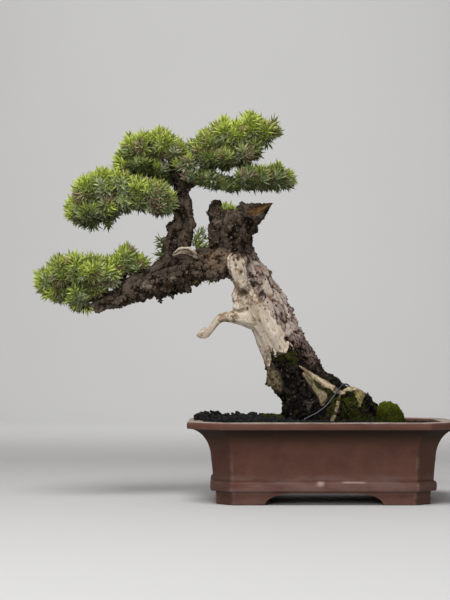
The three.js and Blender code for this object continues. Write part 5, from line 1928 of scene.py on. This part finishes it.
def padShoots(name, seed):  # the centre lines of a pad's shoots, root to tip, each with its tint
    mounds = foliage[name]
    others = [m for key, group in foliage.items() if key != name for m in group]
    draw = random.Random(seed)
    top, bottom = max(m[2] + m[5] for m in mounds), min(m[2] - m[5] for m in mounds)
    middle = Vector(np.mean([m[:3] for m in mounds], 0))
    layers = (1.0, shoots["spacing"]), (0.62, shoots["spacing"] * 1.25)
    found = []
    for at, mound in enumerate(mounds):
        centre, half = Vector(mound[:3]), Vector(mound[3:])
        for layer, (shell, spacing) in enumerate(layers):
            count = int(areaOf(half) * shell**2 / spacing**2)
            for i in range(count):
                up = 1 - 2 * (i + 0.5) / count
                flat = math.sqrt(1 - up * up)
                turn = i * goldenTurn + at * 1.3 + layer
                unit = Vector((flat * math.cos(turn), flat * math.sin(turn), up))
                unit = (unit + Vector([draw.uniform(-0.16, 0.16) for _ in range(3)])).normalized()
                normal = Vector([unit[k] / half[k] for k in range(3)]).normalized()
                reach = shell * (1 + draw.uniform(-0.16, 0.05 + 0.07 * (up > 0)))
                surface = centre + Vector([unit[k] * half[k] for k in range(3)]) * reach
                if any(m is not mound and depthIn(m, surface) < shoots["buried"] * shell for m in mounds):
                    continue
                if any(depthIn(m, surface) < 0.88 for m in others):
                    continue
                away = surface - middle
                lift = 0.75 * smooth(-0.5, 0.35, normal.z)
                way = normal * 0.8 + Vector((away.x * 0.006, away.y * 0.006, lift))
                way = (way + Vector([draw.uniform(-0.42, 0.42) for _ in range(3)])).normalized()
                length = draw.uniform(*shoots["length"]) * (1 if normal.z > -0.4 else 0.7)
                tip = surface - way * shoots["tipDepth"]
                while length > 3 and all(depthIn(m, tip - way * length) > 0.72 for m in mounds):
                    length *= 0.6
                high = (surface.z - bottom) / (top - bottom)
                tint = tintOf(name, surface, normal, high, layer, draw, seed)
                found.append((tip - way * length, tip, tint))
    for x, y, z, wayX, wayZ, fresh, dim in outliers[name]:
        way = Vector((wayX, -0.15, wayZ)).normalized()
        tip = Vector((x, y, z)) - way * shoots["tipDepth"] * 1.15
        found.append((tip - way * shoots["tuftStep"], tip, (fresh, 0.3, 0.1, dim)))
    return found


def skeleton(name, found, bow=0.0):  # edges root - middle - tip, for a geometry tree
    points, edges, tints = [], [], []
    for root, tip, tint in found:
        start = len(points)
        root, tip = Vector(root), Vector(tip)
        sag = Vector((0, 0, -bow * (tip - root).length))
        points += [root, (root + tip) / 2 + sag, tip]
        edges += [(start, start + 1), (start + 1, start + 2)]
        tints += [tint] * 3
    mesh = bpy.data.meshes.new(name)
    mesh.from_pydata([tuple(p) for p in toFrame([tuple(p) for p in points])], edges, [])
    store(mesh, "tint", [tint[:3] for tint in tints])
    # the last value of each tint is the shoot's painted shade
    store(mesh, "dim", [tint[3] for tint in tints], "FLOAT")
    return objectOf(name, mesh)


def shootTree():  # tufts of needles along the shoots
    g, start = geometryTree(
        "shoots",
        ("Step", "Float", 0.004),
        ("Seed", "Int", 1),
        ("Smallest", "Float", 0.78),
        ("Largest", "Float", 1.15),
        ("Tufts", "Collection", None),
        ("Material", "Material", None),
    )
    curve = g.node("GeometryNodeMeshToCurve", {}, {0: start["Geometry"]})
    cut = {"Curve": curve, "Length": start["Step"]}
    points = g.node("GeometryNodeResampleCurve", {"mode": "LENGTH"}, cut)
    tangent = g.node("GeometryNodeInputTangent")
    turned = g.node("FunctionNodeAlignRotationToVector", {"axis": "Z"}, {"Vector": tangent})
    turn = {"Axis": (0, 0, 1), "Angle": g.draw(0.0, 6.283, start["Seed"])}
    spin = g.node("FunctionNodeAxisAngleToRotation", {}, turn)
    rotation = g.node("FunctionNodeRotateRotation", {"rotation_space": "LOCAL"}, {0: turned, 1: spin})
    size = g.draw(start["Smallest"], start["Largest"], start["Seed"] + 1)
    placed = copies(g, points, start["Tufts"], rotation, size, start["Seed"], 17)
    endTree(g, placed, start["Material"])
    return g


def needleGreen():
    material, g = newMaterial("needleGreen")
    colours = needleColours
    fresh, greyish, brown = g.parts(g.attribute("tint"))
    reach, shade = g.attribute("reach", "Fac"), g.attribute("shade", "Fac")
    vary = g.noise(g.place(), 260, 2, 0.5) * 0.6 + shade * 0.4
    colour = g.coats(
        g.mix(*colours["old"], vary),
        (g.mix(*colours["blue"], vary), g.step(0.4, 0.75, greyish)),
        (g.mix(*colours["young"], reach * 0.6 + vary * 0.4), g.step(0.28, 0.7, fresh)),
        (g.mix(*colours["dry"], vary), g.step(0.3, 1.0, brown) * 0.9),
        (colours["tip"], g.step(0.86, 1.0, reach) * 0.35),
        (colours["root"], (1 - g.step(0.0, 0.3, reach)) * 0.5),
        (colours["dark"], (1 - g.attribute("own", "Fac")) * 0.22),
        # darkens needles by their painted shade
        (colours["dim"], g.attribute("dim", "Fac") * 0.72),
    )
    finishMaterial(g, colour, 0.55, gloss=0.24)
    return material


def twigBrown():
    material, g = newMaterial("twigBrown")
    where = g.place()
    colour = g.mix(*needleColours["twig"], g.noise(where, 300, 3, 0.6))
    finishMaterial(g, colour, 0.85, g.noise(where, 1600, 3), 0.3)
    return material


needleMaterial = needleGreen()
shootGraph = shootTree()
blade = (shoots["needleLength"] * mm, shoots["needleWidth"] * mm)
tufts = kit("tuft", [spikes(shoots["needles"], (12, 66), *blade, 20 + i, 0.1) for i in range(5)])


def needlePiece(name, found, step, seed):
    made = skeleton("needles_" + name, found)
    grow(made, shootGraph, Step=step * mm, Seed=seed, Tufts=tufts, Material=needleMaterial)
    addPiece(made, needleMaterial, "needles", name)


twigLines = []
for at, (name, mounds) in enumerate(foliage.items()):
    found = padShoots(name, shoots["seed"] + at)
    for root, tip, tint in found[::2]:
        hub = Vector(min(mounds, key=lambda m: (Vector(m[:3]) - root).length)[:3])
        twigLines.append((hub.lerp(root, 0.15), tip, tint))
    for a, b in zip(mounds[:-1], mounds[1:]):
        twigLines.append((Vector(a[:3]), Vector(b[:3]), (0, 0, 0, 0)))
    needlePiece(name, found, shoots["tuftStep"], at)
for at, (name, (fresh, dim, *pairs)) in enumerate(sprays.items()):
    found = [(root, tip, (fresh, 0.2, 0, dim)) for root, tip in pairs]
    twigLines += found
    needlePiece(name, found, shoots["sprayStep"], 40 + at)
dropKit(tufts)
twigs = skeleton("twigs", twigLines, 0.06)
grow(twigs, tubeTree("twigs"), Radius=shoots["twigRadius"] * mm)
addPiece(twigs, twigBrown(), "bark")
print("foliage ready")


# The wire itself
def wireMetal():
    material, g = newMaterial("wireMetal")
    where = g.place()
    dull = g.noise(where, 260, 4, 0.6)
    colour = g.mix(wire["dark"], wire["light"], dull)
    finishMaterial(g, colour, 0.38 + 0.3 * dull, g.noise(where, 1800, 2), 0.08, metal=0.7)
    return material


def liftOntoBark(line):  # moves a point that bark would hide towards the eye, so that it lies on the bark
    skin = treePiece.data
    skinOf = BVHTree.FromPolygons([v.co for v in skin.vertices], [p.vertices for p in skin.polygons])
    eyePot = Vector(studio["cameraPlace"])
    eye = Vector(toFrame(eyePot))
    lowest, highest = wire["shown"]
    needed = []
    for point in line:
        here = Vector(toFrame(point))
        way = (here - eye).normalized()
        _, _, _, reach = skinOf.ray_cast(eye, way)
        depth = ((here - eye).length - reach) / mm + wire["radius"] if reach else 0.0
        inFront = point[1] < 0 and lowest < point[2] < highest
        needed.append(min(max(depth, 0.0), wire["mostLift"]) if inFront else 0.0)
    near = [slice(max(0, i - 3), i + 4) for i in range(len(needed))]
    widest = [max(needed[part]) for part in near]
    eased = [sum(widest[part]) / len(widest[part]) for part in near]
    return [Vector(p) + (eyePot - Vector(p)).normalized() * lift for p, lift in zip(line, eased)]


def buildWire():
    line = liftOntoBark(finer([tuple(map(float, p)) for p in wireRoute], 6))
    mesh = bpy.data.meshes.new("tie_wire_bent")
    mesh.from_pydata([tuple(p) for p in toFrame(line)], [(i, i + 1) for i in range(len(line) - 1)], [])
    made = objectOf("tie_wire_bent", mesh)
    grow(made, tubeTree("wire", smoothed=True), Radius=wire["radius"] * mm, Sides=wire["sides"])
    return made


addPiece(buildWire(), wireMetal(), "wire", "tie_wire")
print("wire ready")
